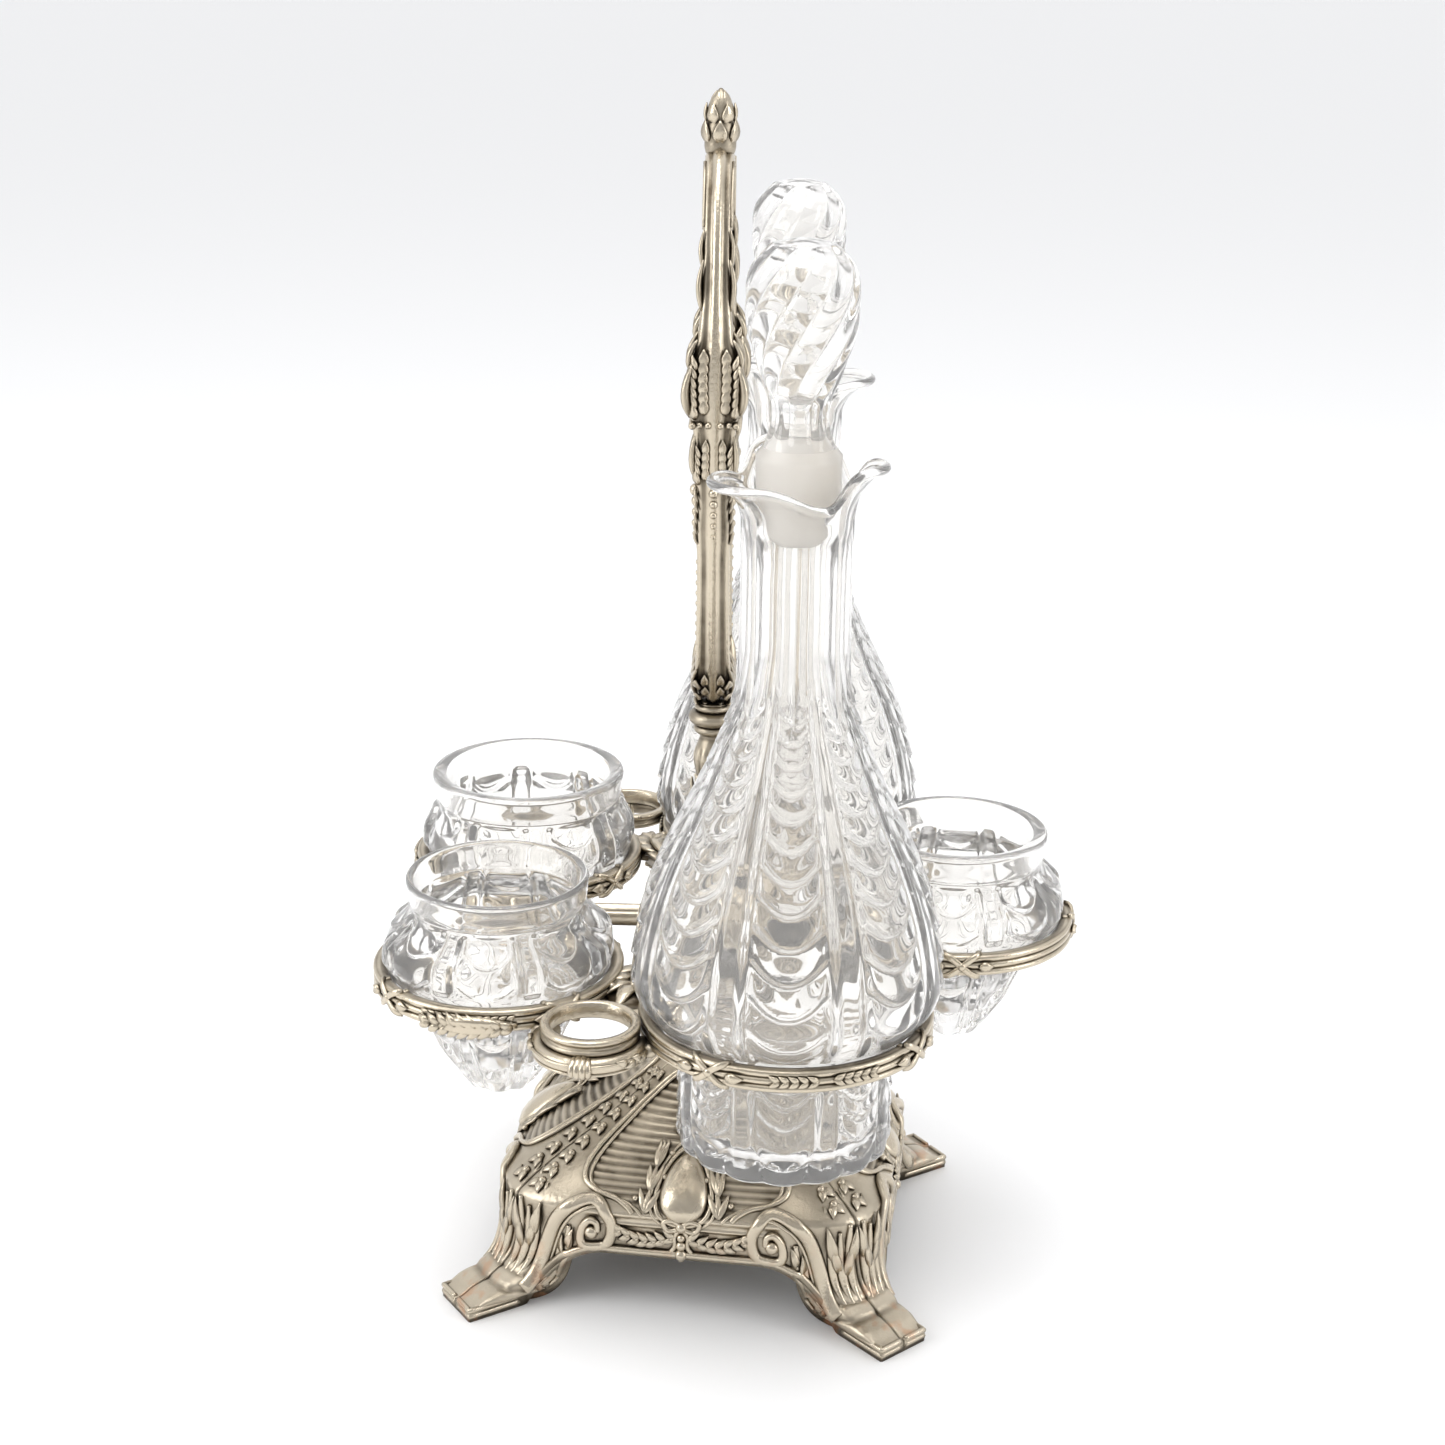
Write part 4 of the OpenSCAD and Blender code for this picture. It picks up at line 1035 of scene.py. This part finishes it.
def rest_bar(side, label):
    """Bar that loops round the outside of a rest, grooved along its length like a stem, with its clasp and
    a bud.
    """
    centre = PLACES["rest_" + label]
    path_r, radius, count = 13.0, 2.4, 111
    z = node_height("stopper_rest_" + label)[0] - radius + 0.6
    middle = math.atan2(centre[1], centre[0])
    angles = middle + np.radians(np.linspace(-110, 110, count))
    path = at_ring(centre, path_r, angles, z)
    piece = Piece()
    t = np.linspace(-1, 1, count)
    width = radius * (0.9 + 0.1 * np.abs(t))
    piece.sweep(path, outward(angles), width, width, sides=16)
    for groove in (-0.9, 0.3):
        a = angles[6:-6]
        r = path_r + radius * math.cos(groove) * 0.98
        piece.sweep(at_ring(centre, r, a, z + radius * math.sin(groove)), outward(a), 0.5, 0.5, sides=6)
    for tilt in (-1, 1):
        for i in range(4):
            a0 = middle + tilt * math.radians(62 + 9 * i)
            base = at_ring(centre, path_r + radius * 0.8, a0, z + 0.3)
            a1 = a0 - tilt * math.radians(13)
            tip = at_ring(centre, path_r + radius * 0.9, a1, z + 0.3 + 1.1 * (-1) ** i)
            piece.leaf(base, tip, outward(a0), 1.1, 1.0, 0.6)
        bud = at_ring(centre, path_r + radius + 0.2, middle + tilt * math.radians(97), z)
        piece.ball(bud, 2.0, outward(middle + tilt * math.radians(97)), 1.1, 12, 7)
    piece.cast("rest_bar_scroll_" + label, "rest_bar_" + label)

    side_turn = -side * 14
    clasp = Piece()
    for i, size in enumerate((2.9, 3.2, 3.2, 2.9)):
        a = middle + math.radians(side_turn - 7.5 + 5 * i)
        loop = np.linspace(0, TAU, 20, endpoint=False)
        at = at_ring(centre, path_r + 0.5, a, z - 0.25)
        path = at + np.outer(np.cos(loop) * (size - 0.5), outward(a))
        path = path + np.outer(np.sin(loop) * (size - 0.9), [0, 0, 1])
        clasp.sweep(path, unit(path - at), 0.95, 0.75, closed=True)
    clasp.cast("rest_clasp_beads_" + label, "rest_clasp_" + label)


def rest_leaf(side, label):
    """Acanthus spray that lies along the cup ring beside the rest."""
    place = "cup_back_" + label
    centre, outer_r = PLACES[place], RING_RADII[place]
    to_rest = math.atan2(*(PLACES["rest_" + label] - centre)[::-1])
    start = to_rest + side * math.radians(22)
    span = side * math.radians(40)
    piece = Piece()
    z = (RING_TOP + RING_LOW) / 2 - 1
    t = np.linspace(0, 1, 22)
    a = start + span * t
    lift = np.sin(math.pi * np.clip(t, 0.03, 0.97))
    path = at_ring(centre, outer_r + 0.9 * lift + 0.4, a, z + 0.5 * lift)
    piece.sweep(path, outward(a), 2.4 * lift ** 0.6 + 0.2, 1.7 * lift ** 0.5 + 0.2, crease=0.5, sides=12)
    for i in range(9):
        f = (i + 0.5) / 9
        at = start + span * f
        base = at_ring(centre, outer_r + 1.2, at, z)
        for tilt in (-1, 1):
            tip_z = z + tilt * 3.6 * math.sin(math.pi * f) ** 0.5
            tip = at_ring(centre, outer_r + 1.0, at + side * 0.11, tip_z)
            piece.leaf(base, tip, outward(at), 1.15, 1.0, 0.9)
    piece.cast("rest_leaf_spray_" + label, "rest_leaf_" + label)


for place, start in (("bottle_left", 150), ("bottle_right", 30), ("cup_front", 0), ("cup_back_left", 127),
                     ("cup_back_right", 53)):
    glass_ring(place, start)
for side, label in ((-1, "left"), (1, "right")):
    stopper_rest(label)
    rest_bar(side, label)
    rest_leaf(side, label)

# ---------------------------------------------------------------- arms, hub, column and stem


def gap_between(place_a, place_b):
    a, b = PLACES[place_a], PLACES[place_b]
    away = np.linalg.norm(b - a)
    gap = away - RING_RADII[place_a] - RING_RADII[place_b]
    return a + (b - a) * (RING_RADII[place_a] + gap / 2) / away, gap


def tray_arm(label, place_a, place_b):
    """Moulded arm that ends between two rings in a spray of leaves over a hanging berry drop."""
    at, gap = gap_between(place_a, place_b)
    reach = float(np.linalg.norm(at))
    along = np.array([*(at / reach), 0])
    across = np.array([-along[1], along[0], 0])
    top, low = RING_LOW + 4.7, RING_LOW - 0.4
    piece = Piece()

    def point(d, w, z):
        return along * d + across * w + np.array([0, 0, z])

    section = [(-3.2, low), (-3.2, top - 1.6), (-2.3, top - 1.0), (-1.7, top - 1.4), (-0.9, top),
               (0, top + 0.35), (0.9, top),
               (1.7, top - 1.4), (2.3, top - 1.0), (3.2, top - 1.6), (3.2, low), (0, low - 0.3)]
    levels = [0.4, 0.7, 0.8, 0.2, 0.9, 1.0, 0.9, 0.2, 0.8, 0.7, 0.4, 0.4]
    stations = np.linspace(14.2, reach - 4, 24)
    rows = [[point(d, w * (1 + 0.25 * ramp(d, reach - 14, reach - 5)), z) for w,
             z in section] for d in stations]
    index = piece.grid(rows, np.array(levels)[None], wrap=True)
    piece.cap(index[0], point(stations[0], 0, top - 2.5), flip=True)
    piece.cap(index[-1], point(stations[-1], 0, top - 2.5))
    reach_w = gap / 2 + 4.2
    plate_z = top - 2.0
    plate = [(reach - 9, 0), (reach - 6, reach_w * 0.9), (reach - 1, reach_w), (reach + 4.5, 5),
             (reach + 8.5, 0),
             (reach + 4.5, -5), (reach - 1, -reach_w), (reach - 6, -reach_w * 0.9)]
    ring = np.array([point(d, w, plate_z) for d, w in plate])
    keep = []
    for p in ring:
        for place in (place_a, place_b):
            away = p[:2] - PLACES[place]
            distance = np.linalg.norm(away)
            inside = RING_RADII[place] - 0.6
            if distance < inside:
                p = np.array([*(PLACES[place] + away / distance * inside), p[2]])
        keep.append(p)
    ring = smooth_curve(keep, 4, closed=True)
    index = piece.grid([ring - [0, 0, 2.2], ring - [0, 0, 0.2]], 0.3, wrap=True)
    piece.cap(index[0], ring.mean(axis=0) - [0, 0, 2.4], flip=True)
    piece.cap(index[1], ring.mean(axis=0) + [0, 0, 0.6], 0.4)

    def leaf_to(d0, w0, d1, w1, width, z0=0.0, z1=0.0, bend=1.4, normal=(0, 0, 1)):
        piece.leaf(point(d0, w0, plate_z + z0), point(d1, w1, plate_z + z1), normal, width,
                   width * 0.55, bend)

    for spread in (-1, 1):
        leaf_to(reach - 12, spread * 0.6, reach - 3, spread * reach_w * 0.95, 2.0, 0.6, 0.4)
        leaf_to(reach - 6, spread * 1.0, reach + 1, spread * reach_w * 0.95, 2.1, 0.8, 0.0)
        leaf_to(reach - 3, spread * 0.8, reach + 5.5, spread * 5.6, 2.0, 0.8, -0.4)
        leaf_to(reach - 15, spread * 2.4, reach - 9, spread * 5.2, 1.5, 0.2, 0.2)
        for k in range(3):
            berry = point(reach - 3.5 + 3 * k, spread * (3.4 + 0.6 * k), plate_z + 1.2)
            piece.ball(berry, 1.25, (0, 0, 1), 1.0, 10, 5)
    leaf_to(reach - 14, 0, reach + 1, 0, 2.6, 1.6, 0.9, 1.6)
    leaf_to(reach - 1, 0, reach + 10, 0, 2.4, 1.0, -1.8, 1.6)
    front = along * 0.9 + np.array([0, 0, 0.35])
    for k, (z, size) in enumerate(((-3.0, 2.2), (-5.6, 1.9), (-7.9, 1.4), (-9.6, 0.9))):
        for w in (-1, 0, 1):
            if abs(w) * k < 3:
                piece.ball(point(reach + 2.2 - 0.5 * k, w * size * 0.85, plate_z + z + 0.8 * abs(w)),
                           size * 0.62, front, 1.0,
                           10, 5)
    for spread in (-1, 0, 1):
        leaf_to(reach + 3.4, spread * 1.5, reach + 3.0, spread * 4.6, 1.7, -0.4,
                -7.4 + 1.4 * abs(spread), 1.8, front)
    piece.cast("arm_" + label, "tray_arm_" + label)


for label, place_a, place_b in (("front_left", "bottle_left", "cup_front"),
                                ("front_right", "bottle_right", "cup_front"),
                                ("left", "bottle_left", "cup_back_left"),
                                ("right", "bottle_right", "cup_back_right"),
                                ("back", "cup_back_left", "cup_back_right")):
    tray_arm(label, place_a, place_b)


def turned_piece(name, node, outline, count, sides=120, lobes=0, lobe_range=(0, 0), depth=0.0, bore=0.0,
                 extras=None):
    """Turned part on the stem axis with optional gadroons between two heights."""
    outline = resample(outline, count)
    a = np.arange(sides) * TAU / sides
    r, z = outline[:, :1], outline[:, 1:]
    wave = np.abs(np.cos(lobes * a / 2))[None] if lobes else np.ones((1, sides))
    window = ramp(z, lobe_range[0], lobe_range[0] + 1.5) * (1 - ramp(z, lobe_range[1] - 1.5, lobe_range[1]))
    radius = r * (1 - depth * window * (1 - wave ** 0.7))
    grid = np.stack([radius * np.cos(a), radius * np.sin(a), np.broadcast_to(z, radius.shape)], -1)
    slope = np.abs(np.gradient(outline[:, 0]) / np.maximum(np.hypot(*np.gradient(outline, axis=0).T), 1e-6))
    bulge = np.clip(0.45 + (outline[:, 0] - np.convolve(np.pad(outline[:, 0], 6, "edge"),
                                                        np.ones(13) / 13, "valid")) * 0.9
                    - 0.1 * slope, 0.1, 1)
    relief = np.clip(bulge[:, None] + 0.35 * window * (wave - 0.5), 0.05, 1)
    piece = Piece()
    if bore:
        tube = np.linspace(outline[-1, 1], outline[0, 1], 4)
        inner = turned([(bore, h) for h in tube], (0, 0), sides)
        grid = np.concatenate([grid, inner, grid[:1]])
        relief = np.concatenate([relief, np.full((4, sides), 0.2), relief[:1]])
        piece.grid(grid, relief, wrap=True)
    else:
        index = piece.grid(grid, relief, wrap=True)
        piece.cap(index[0], grid[0].mean(axis=0), 0.3, flip=True)
        piece.cap(index[-1], grid[-1].mean(axis=0), 0.8)
    if extras:
        extras(piece)
    return piece.cast(name, node)


def leaf_collar(piece, z0, r0, z1, r1, count, width, height, start=0.0, bend=0.8):
    """Ring of upright leaves from one height and radius to another."""
    for i in range(count):
        a = start + TAU * i / count
        piece.leaf(at_ring((0, 0), r0, a, z0), at_ring((0, 0), r1, a, z1), outward(a), width, height, bend)


def bead_ring(piece, z, r, count, radius):
    for i in range(count):
        a = TAU * i / count
        piece.ball(at_ring((0, 0), r, a, z), radius, outward(a), 1.0, 8, 5)


BORE_R = 2.55


def column():
    z0, h = node_box("column")[0][2], 36.0
    outline = [(11.2, z0), (11.5, z0 + 0.5), (11.5, z0 + 1.6)] + list(smooth_curve(
        [(10.4, z0 + 2.6), (6.4, z0 + 5), (5.6, z0 + 8), (9, z0 + h * 0.42), (6.2, z0 + h * 0.64),
         (4.9, z0 + h * 0.78),
         (6.4, z0 + h - 4.4), (9.6, z0 + h - 2.4)], 6)) + [(10.4, z0 + h - 1.6), (10.4, z0 + h)]

    def extras(piece):
        leaf_collar(piece, z0 + 8, 5.8, z0 + 16, 9.2, 8, 2.3, 1.0)
        leaf_collar(piece, z0 + h - 11, 5.0, z0 + h - 3, 9.0, 8, 2.0, 0.9, 0.39)
        bead_ring(piece, z0 + 3.6, 9.2, 28, 0.9)

    turned_piece("column_baluster", "column", outline, 110, 120, 16, (z0 + 16, z0 + 25), 0.1, BORE_R,
                 extras)


def hub():
    z0 = node_box("tray_hub")[0][2]
    outline = [(10.2, z0), (10.4, z0 + 0.2), (14.6, z0 + 1.4), (15, z0 + 1.9), (15, z0 + 9.4),
               (14.6, z0 + 9.9)] + list(
        smooth_curve([(13.6, z0 + 10.7), (10.5, z0 + 13), (6, z0 + 16), (4.6, z0 + 19), (5.6, z0 + 21)],
                     6)) + [(5.6, z0 + 22)]

    def extras(piece):
        bead_ring(piece, z0 + 9.8, 14.0, 36, 1.0)
        leaf_collar(piece, z0 + 10.4, 12.4, z0 + 17.5, 5.6, 10, 2.6, 0.9)
        bead_ring(piece, z0 + 20.2, 5.3, 18, 0.8)

    turned_piece("hub_gadrooned", "tray_hub", outline, 100, 160, 28, (z0 + 1.4, z0 + 9.8), 0.05, BORE_R,
                 extras)


def stem():
    z0, z1 = node_box("handle_stem")[0][2], node_box("handle_stem")[1][2]
    h = z1 - z0
    outline = [(5.4, z0), (5.6, z0 + 0.8), (5.2, z0 + 1.6)] + list(smooth_curve(
        [(4.4, z0 + 3), (3.8, z0 + 8), (3.5, z0 + h - 16), (4.2, z0 + h - 13.5), (5.4, z0 + h - 7),
         (4.2, z0 + h - 2.5),
         (3.6, z0 + h - 1)], 6)) + [(3.6, z1)]

    def extras(piece):
        leaf_collar(piece, z0 + h - 19, 3.6, z0 + h - 13, 5.8, 8, 1.6, 0.8)
        leaf_collar(piece, z0 + 2, 4.6, z0 + 11, 4.4, 8, 1.5, 0.7)
        bead_ring(piece, z0 + h - 12.6, 4.4, 16, 0.75)

    turned_piece("stem_baluster", "handle_stem", outline, 110, 96, 12, (z0 + h - 12, z0 + h - 3), 0.08,
                 BORE_R, extras)


def knop():
    z0, z1 = node_box("handle_knop")[0][2], node_box("handle_knop")[1][2]
    outline = [(3.9, z0), (4.4, z0 + 0.3)]
    for middle, reach, thick in ((1.7, 5.4, 1.2), (5.0, 6.8, 1.9), (8.0, 5.2, 1.1)):
        for a in np.linspace(-75, 75, 9):
            outline.append((reach - thick + thick * math.cos(math.radians(a)),
                            z0 + middle + thick * math.sin(math.radians(a))))
    outline += [(4.4, z1 - 0.2), (4.0, z1)]
    turned_piece("knop_rings", "handle_knop", outline, 120, 96)


column()
hub()
stem()
knop()

# ---------------------------------------------------------------- handle

LOOP_LOW, LOOP_TOP = node_box("handle_loop")[0][2], node_box("handle_loop")[1][2]
LOOP_HALF_W = 24.0
LOOP_BAND = 7.0
LOOP_MIDDLE = (LOOP_LOW + LOOP_TOP) / 2
LOOP_HALF_H = (LOOP_TOP - LOOP_LOW) / 2 - LOOP_BAND / 2
LOOP_DEPTH = ((166, 4.7), (171, 4.6), (177, 5.1), (186, 4.7), (199, 4.5), (212, 4.4), (221, 4.9),
              (227, 4.4), (234, 5.0),
              (242, 4.8), (247, 5.8), (252, 6.5), (258, 6.9), (264, 6.2), (270, 4.8), (279, 3.9),
              (291, 3.7), (304, 3.8),
              (316, 4.0))


def loop_point(t, grow=0.0):
    """Centre line of one limb, t from 0 at the foot to pi at the top."""
    x = (LOOP_HALF_W + grow) * np.sin(t) ** 0.9 * (1 - 0.16 * np.cos(t))
    return np.stack([x, 0 * t, LOOP_MIDDLE - (LOOP_HALF_H + grow) * np.cos(t)], -1)


def loop_at(z):
    """Parameter of the loop at a height."""
    return np.arccos(np.clip((LOOP_MIDDLE - np.asarray(z, float)) / LOOP_HALF_H, -1, 1))


def handle_loop():
    piece = Piece()
    count = 150
    t = np.concatenate([np.linspace(0.0, math.pi, count), np.linspace(math.pi, 0.0, count)[1:-1]])
    sign = np.concatenate([np.ones(count), -np.ones(count - 2)])
    centre = loop_point(np.clip(t, 1e-4, math.pi - 1e-4)) * np.stack([sign, sign * 0 + 1, sign * 0 + 1], -1)
    tangent = unit(np.roll(centre, -1, axis=0) - np.roll(centre, 1, axis=0))
    normal = np.stack([tangent[:, 2], 0 * t, -tangent[:, 0]], -1)
    depth = np.interp(centre[:, 2], *zip(*LOOP_DEPTH))
    half = LOOP_BAND / 2
    section = [(1.0, 0.0, 1.0), (0.8, 0.3, 0.8), (0.5, 0.46, 0.35), (0.55, 0.62, 0.3), (0.5, 0.8, 0.85),
               (0.25, 0.94, 0.95),
               (0.0, 0.97, 0.9), (-0.25, 0.94, 0.95), (-0.5, 0.8, 0.85), (-0.55, 0.62, 0.3),
               (-0.5, 0.46, 0.35), (-0.8, 0.3, 0.8)]
    section += [(-1.0, 0.0, 1.0)] + [(u, -w, r) for u, w, r in section[:0:-1]]
    rows = [centre + normal * half * u + np.outer(depth * w, [0, 1, 0]) for u, w, r in section]
    grid = np.transpose(np.array(rows), (1, 0, 2))
    level = np.array([r for u, w, r in section])[None]
    piece.grid(np.concatenate([grid, grid[:1]]), level, wrap=True)

    for side in (-1, 1):
        for face in (-1, 1):
            limb_ornaments(piece, side, face)
        limb_edges(piece, side)
    for face in (-1, 1):
        spread = np.array([0, face, 0])
        foot = np.array([0, face * 3.6, LOOP_LOW + 2])
        for x in (-4.5, 0, 4.5):
            piece.leaf(foot + [x * 0.3, 0, 0], foot + [x * 1.3, face * 0.6, 11 - abs(x) * 0.5], spread,
                       2.2, 1.2, 1.4)
    piece.cast("loop_handle", "handle_loop")


def limb_place(side, face, z, off=0.0, proud=0.0):
    """Point on the front or back of a limb: off is across the band, outward positive."""
    t = loop_at(z)
    p = loop_point(t)
    q = loop_point(t + 0.01)
    along = unit(q - p)
    out = np.array([along[2], 0, -along[0]])
    depth = np.interp(p[2], *zip(*LOOP_DEPTH))
    at = p + out * off + np.array([0, (depth * 0.9 + proud) * face, 0])
    flip = np.array([side, 1, 1])
    return at * flip, along * flip, out * flip


def limb_ornaments(piece, side, face):
    """Leaves, beads and drops on the front or back of one limb."""
    facing = np.array([0, face, 0])

    def leaf(z0, off0, z1, off1, width, bend=0.8, proud=0.0):
        a = limb_place(side, face, z0, off0, proud)[0]
        b = limb_place(side, face, z1, off1, proud)[0]
        piece.leaf(a, b, facing, width, width * 0.55, bend)

    for z in np.arange(184, 214, 3.0):
        at = limb_place(side, face, z)[0]
        piece.ball(at, 0.85, facing, 0.8, 8, 4)
    for k in range(5):
        at = limb_place(side, face, 231 - 3 * k, 0, 0.5)[0]
        piece.ball(at, 1.7 - 0.22 * k, facing, 0.9, 10, 5)
        for tilt in (-1, 1):
            leaf(232 - 3 * k, 0, 228.6 - 3 * k, tilt * (3.0 - 0.3 * k), 1.1, 0.6)
    for tilt in (-1, 0, 1):
        leaf(234, tilt * 1.0, 246, tilt * 3.6, 1.9, 1.0)
        leaf(250.5, tilt * 1.2, 263, tilt * 4.2, 2.5, 1.6, 0.4)
        leaf(262, tilt * 1.0, 272 - abs(tilt) * 2, tilt * 3.2, 1.9, 1.4, 0.2)
        leaf(277, tilt * 0.8, 289, tilt * 2.9, 1.6, 1.0)
        leaf(287, tilt * 0.6, 296, tilt * 2.2, 1.3, 0.8)
        leaf(168, tilt * 1.2, 181, tilt * 3.4, 2.1, 1.0)
    for off in np.linspace(-3.6, 3.6, 5):
        piece.ball(limb_place(side, face, 248.6, off, 0.2)[0], 1.0, facing, 1.0, 8, 5)
    for off in (-2.0, 2.0):
        zs = np.linspace(297, 311, 8)
        path = np.array([limb_place(side, face, z, off * 0.7, 0.1)[0] for z in zs])
        piece.sweep(path, facing, 0.45, 0.5, sides=6)


def limb_edges(piece, side):
    """Leaf curls beside the ridge on the outer and inner edge of one limb, and its beads."""
    for edge in (-1, 1):
        def spot(z, off, y=0.0):
            at, along, out = limb_place(side, 0, z, edge * (LOOP_BAND / 2 + off))
            return at + np.array([0, y, 0]), along, out * edge
        curls = [(250 + 2.4 * k, 4.6, 1.7) for k in range(6)] + [(233 + 2.2 * k, 4.2,
                                                                  1.3) for k in range(4)]
        curls += [(168 + 3 * k, 5.0, 1.4) for k in range(3)]
        for z, length, width in curls:
            half_depth = np.interp(z, *zip(*LOOP_DEPTH))
            for face in (-1, 1):
                base, along, out = spot(z, -1.3, face * (half_depth * 0.78))
                tip = base + along * length + out * 0.9 + np.array([0, face * 0.9, 0])
                piece.leaf(base, tip, out + np.array([0, face, 0]), width, width * 0.6, 0.4, steps=7)
                base, along, out = spot(z + 1.2, -0.8, face * (half_depth * 0.45))
                piece.leaf(base, base + along * length + out * 0.2, out, width * 0.9, width * 0.4, 0.3,
                           steps=7)
        for face in (-1, 1):
            for y in (1.6, 3.8):
                at, along, out = spot(248.6, -0.9 if y > 3 else -0.5, y * face)
                piece.ball(at, 0.95, out, 1.0, 8, 5)
        for k in range(5):
            at, along, out = spot(231 - 2.9 * k, -0.1)
            piece.ball(at, 1.3 - 0.16 * k, out, 0.8, 10, 5)


def finial():
    z0, z1 = node_box("handle_finial")[0][2], node_box("handle_finial")[1][2]
    h = z1 - z0
    outline = [(3.0, z0 - 2.8), (3.8, z0 - 2.0), (4.1, z0 - 0.6)] + list(smooth_curve(
        [(4.1, z0 + 0.8), (4.2, z0 + 3.4), (3.6, z0 + 6.2), (3.6, z0 + 8.2), (2.6, z0 + 11.2),
         (0.9, z1 - 0.6)], 6)) + [(0.3, z1)]

    def extras(piece):
        leaf_collar(piece, z0 + 0.3, 3.5, z0 + 6.2, 4.4, 6, 2.1, 0.8, 0.0, 0.5)
        leaf_collar(piece, z0 + 5.0, 3.2, z0 + 10.4, 3.6, 6, 1.8, 0.7, TAU / 12, 0.5)
        leaf_collar(piece, z0 + 8.8, 2.0, z1 - 0.6, 1.0, 5, 1.3, 0.6, 0.2, 0.6)

    turned_piece("finial_bud", "handle_finial", outline, 60, 64, extras=extras)


handle_loop()
finial()

# ---------------------------------------------------------------- hidden fixings

for node in ("base_washer", "tie_nut", "tie_rod"):
    for material_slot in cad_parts[node].material_slots:
        material_slot.material = DARK_METAL


# ---------------------------------------------------------------- camera, light and floor

CAMERA_AT = Vector((-0.6209, -0.0148, 0.3714))
CAMERA_TARGET = Vector((0.00005, -0.0026, 0.1596))
CAMERA_LENS = 58.93
CAMERA_ROLL = math.radians(0.8)


def make_camera():
    data = bpy.data.cameras.new("camera")
    data.lens = CAMERA_LENS
    data.sensor_width = 36
    camera = bpy.data.objects.new("camera", data)
    bpy.context.scene.collection.objects.link(camera)
    look = (CAMERA_TARGET - CAMERA_AT).to_track_quat("-Z", "Y").to_matrix().to_4x4()
    camera.matrix_world = Matrix.Translation(CAMERA_AT) @ look @ Matrix.Rotation(CAMERA_ROLL, 4, "Z")
    bpy.context.scene.camera = camera


def area_light(name, at, size, power, aim=(0, 0, 0.15)):
    data = bpy.data.lights.new(name, "AREA")
    data.shape = "RECTANGLE"
    data.size, data.size_y = size
    data.energy = power
    lamp = bpy.data.objects.new(name, data)
    bpy.context.scene.collection.objects.link(lamp)
    lamp.matrix_world = Matrix.Translation(at) @ (
        (Vector(aim) - Vector(at)).to_track_quat("-Z", "Y").to_matrix().to_4x4())


def make_floor():
    size = 14.0
    mesh = bpy.data.meshes.new("floor")
    mesh.from_pydata([(-size, -size, 0), (size, -size, 0), (size, size, 0), (-size, size, 0)], [],
                     [(0, 1, 2, 3)])
    m, shader, add, link = material("floor", Roughness=0.7, Base_Color=(0.9, 0.9, 0.9, 1))
    mesh.materials.append(m)
    floor = bpy.data.objects.new("floor", mesh)
    bpy.context.scene.collection.objects.link(floor)


def make_world():
    """Pale studio that is bright beyond the piece and above it, and dimmer on the near side."""
    world = bpy.data.worlds.new("studio")
    bpy.context.scene.world = world
    world.use_nodes = True
    nodes, links = world.node_tree.nodes, world.node_tree.links
    direction = nodes.new("ShaderNodeTexCoord").outputs["Generated"]
    split = nodes.new("ShaderNodeSeparateXYZ")
    links.new(direction, split.inputs[0])
    level = None
    for axis, low, high, dim, bright in (("X", -0.7, 0.6, 0.55, 1.05), ("Z", 0.1, 0.9, 0.0, 0.2)):
        part = nodes.new("ShaderNodeMapRange")
        part.interpolation_type = "SMOOTHSTEP"
        for socket, value in (("From Min", low), ("From Max", high), ("To Min", dim), ("To Max", bright)):
            part.inputs[socket].default_value = value
        links.new(split.outputs[axis], part.inputs["Value"])
        if level is None:
            level = part.outputs[0]
        else:
            total = nodes.new("ShaderNodeMath")
            links.new(level, total.inputs[0])
            links.new(part.outputs[0], total.inputs[1])
            level = total.outputs[0]
    links.new(level, nodes["Background"].inputs["Strength"])
    nodes["Background"].inputs["Color"].default_value = (0.98, 0.985, 1.0, 1)


bpy.context.scene.view_settings.view_transform = "Standard"
make_camera()
make_floor()
make_world()
area_light("top", (-0.2, 0.1, 1.3), (0.9, 0.9), 8)
area_light("left", (-0.5, 1.1, 0.7), (0.7, 1.0), 7)
area_light("right", (-0.5, -1.2, 0.6), (0.5, 0.9), 5)
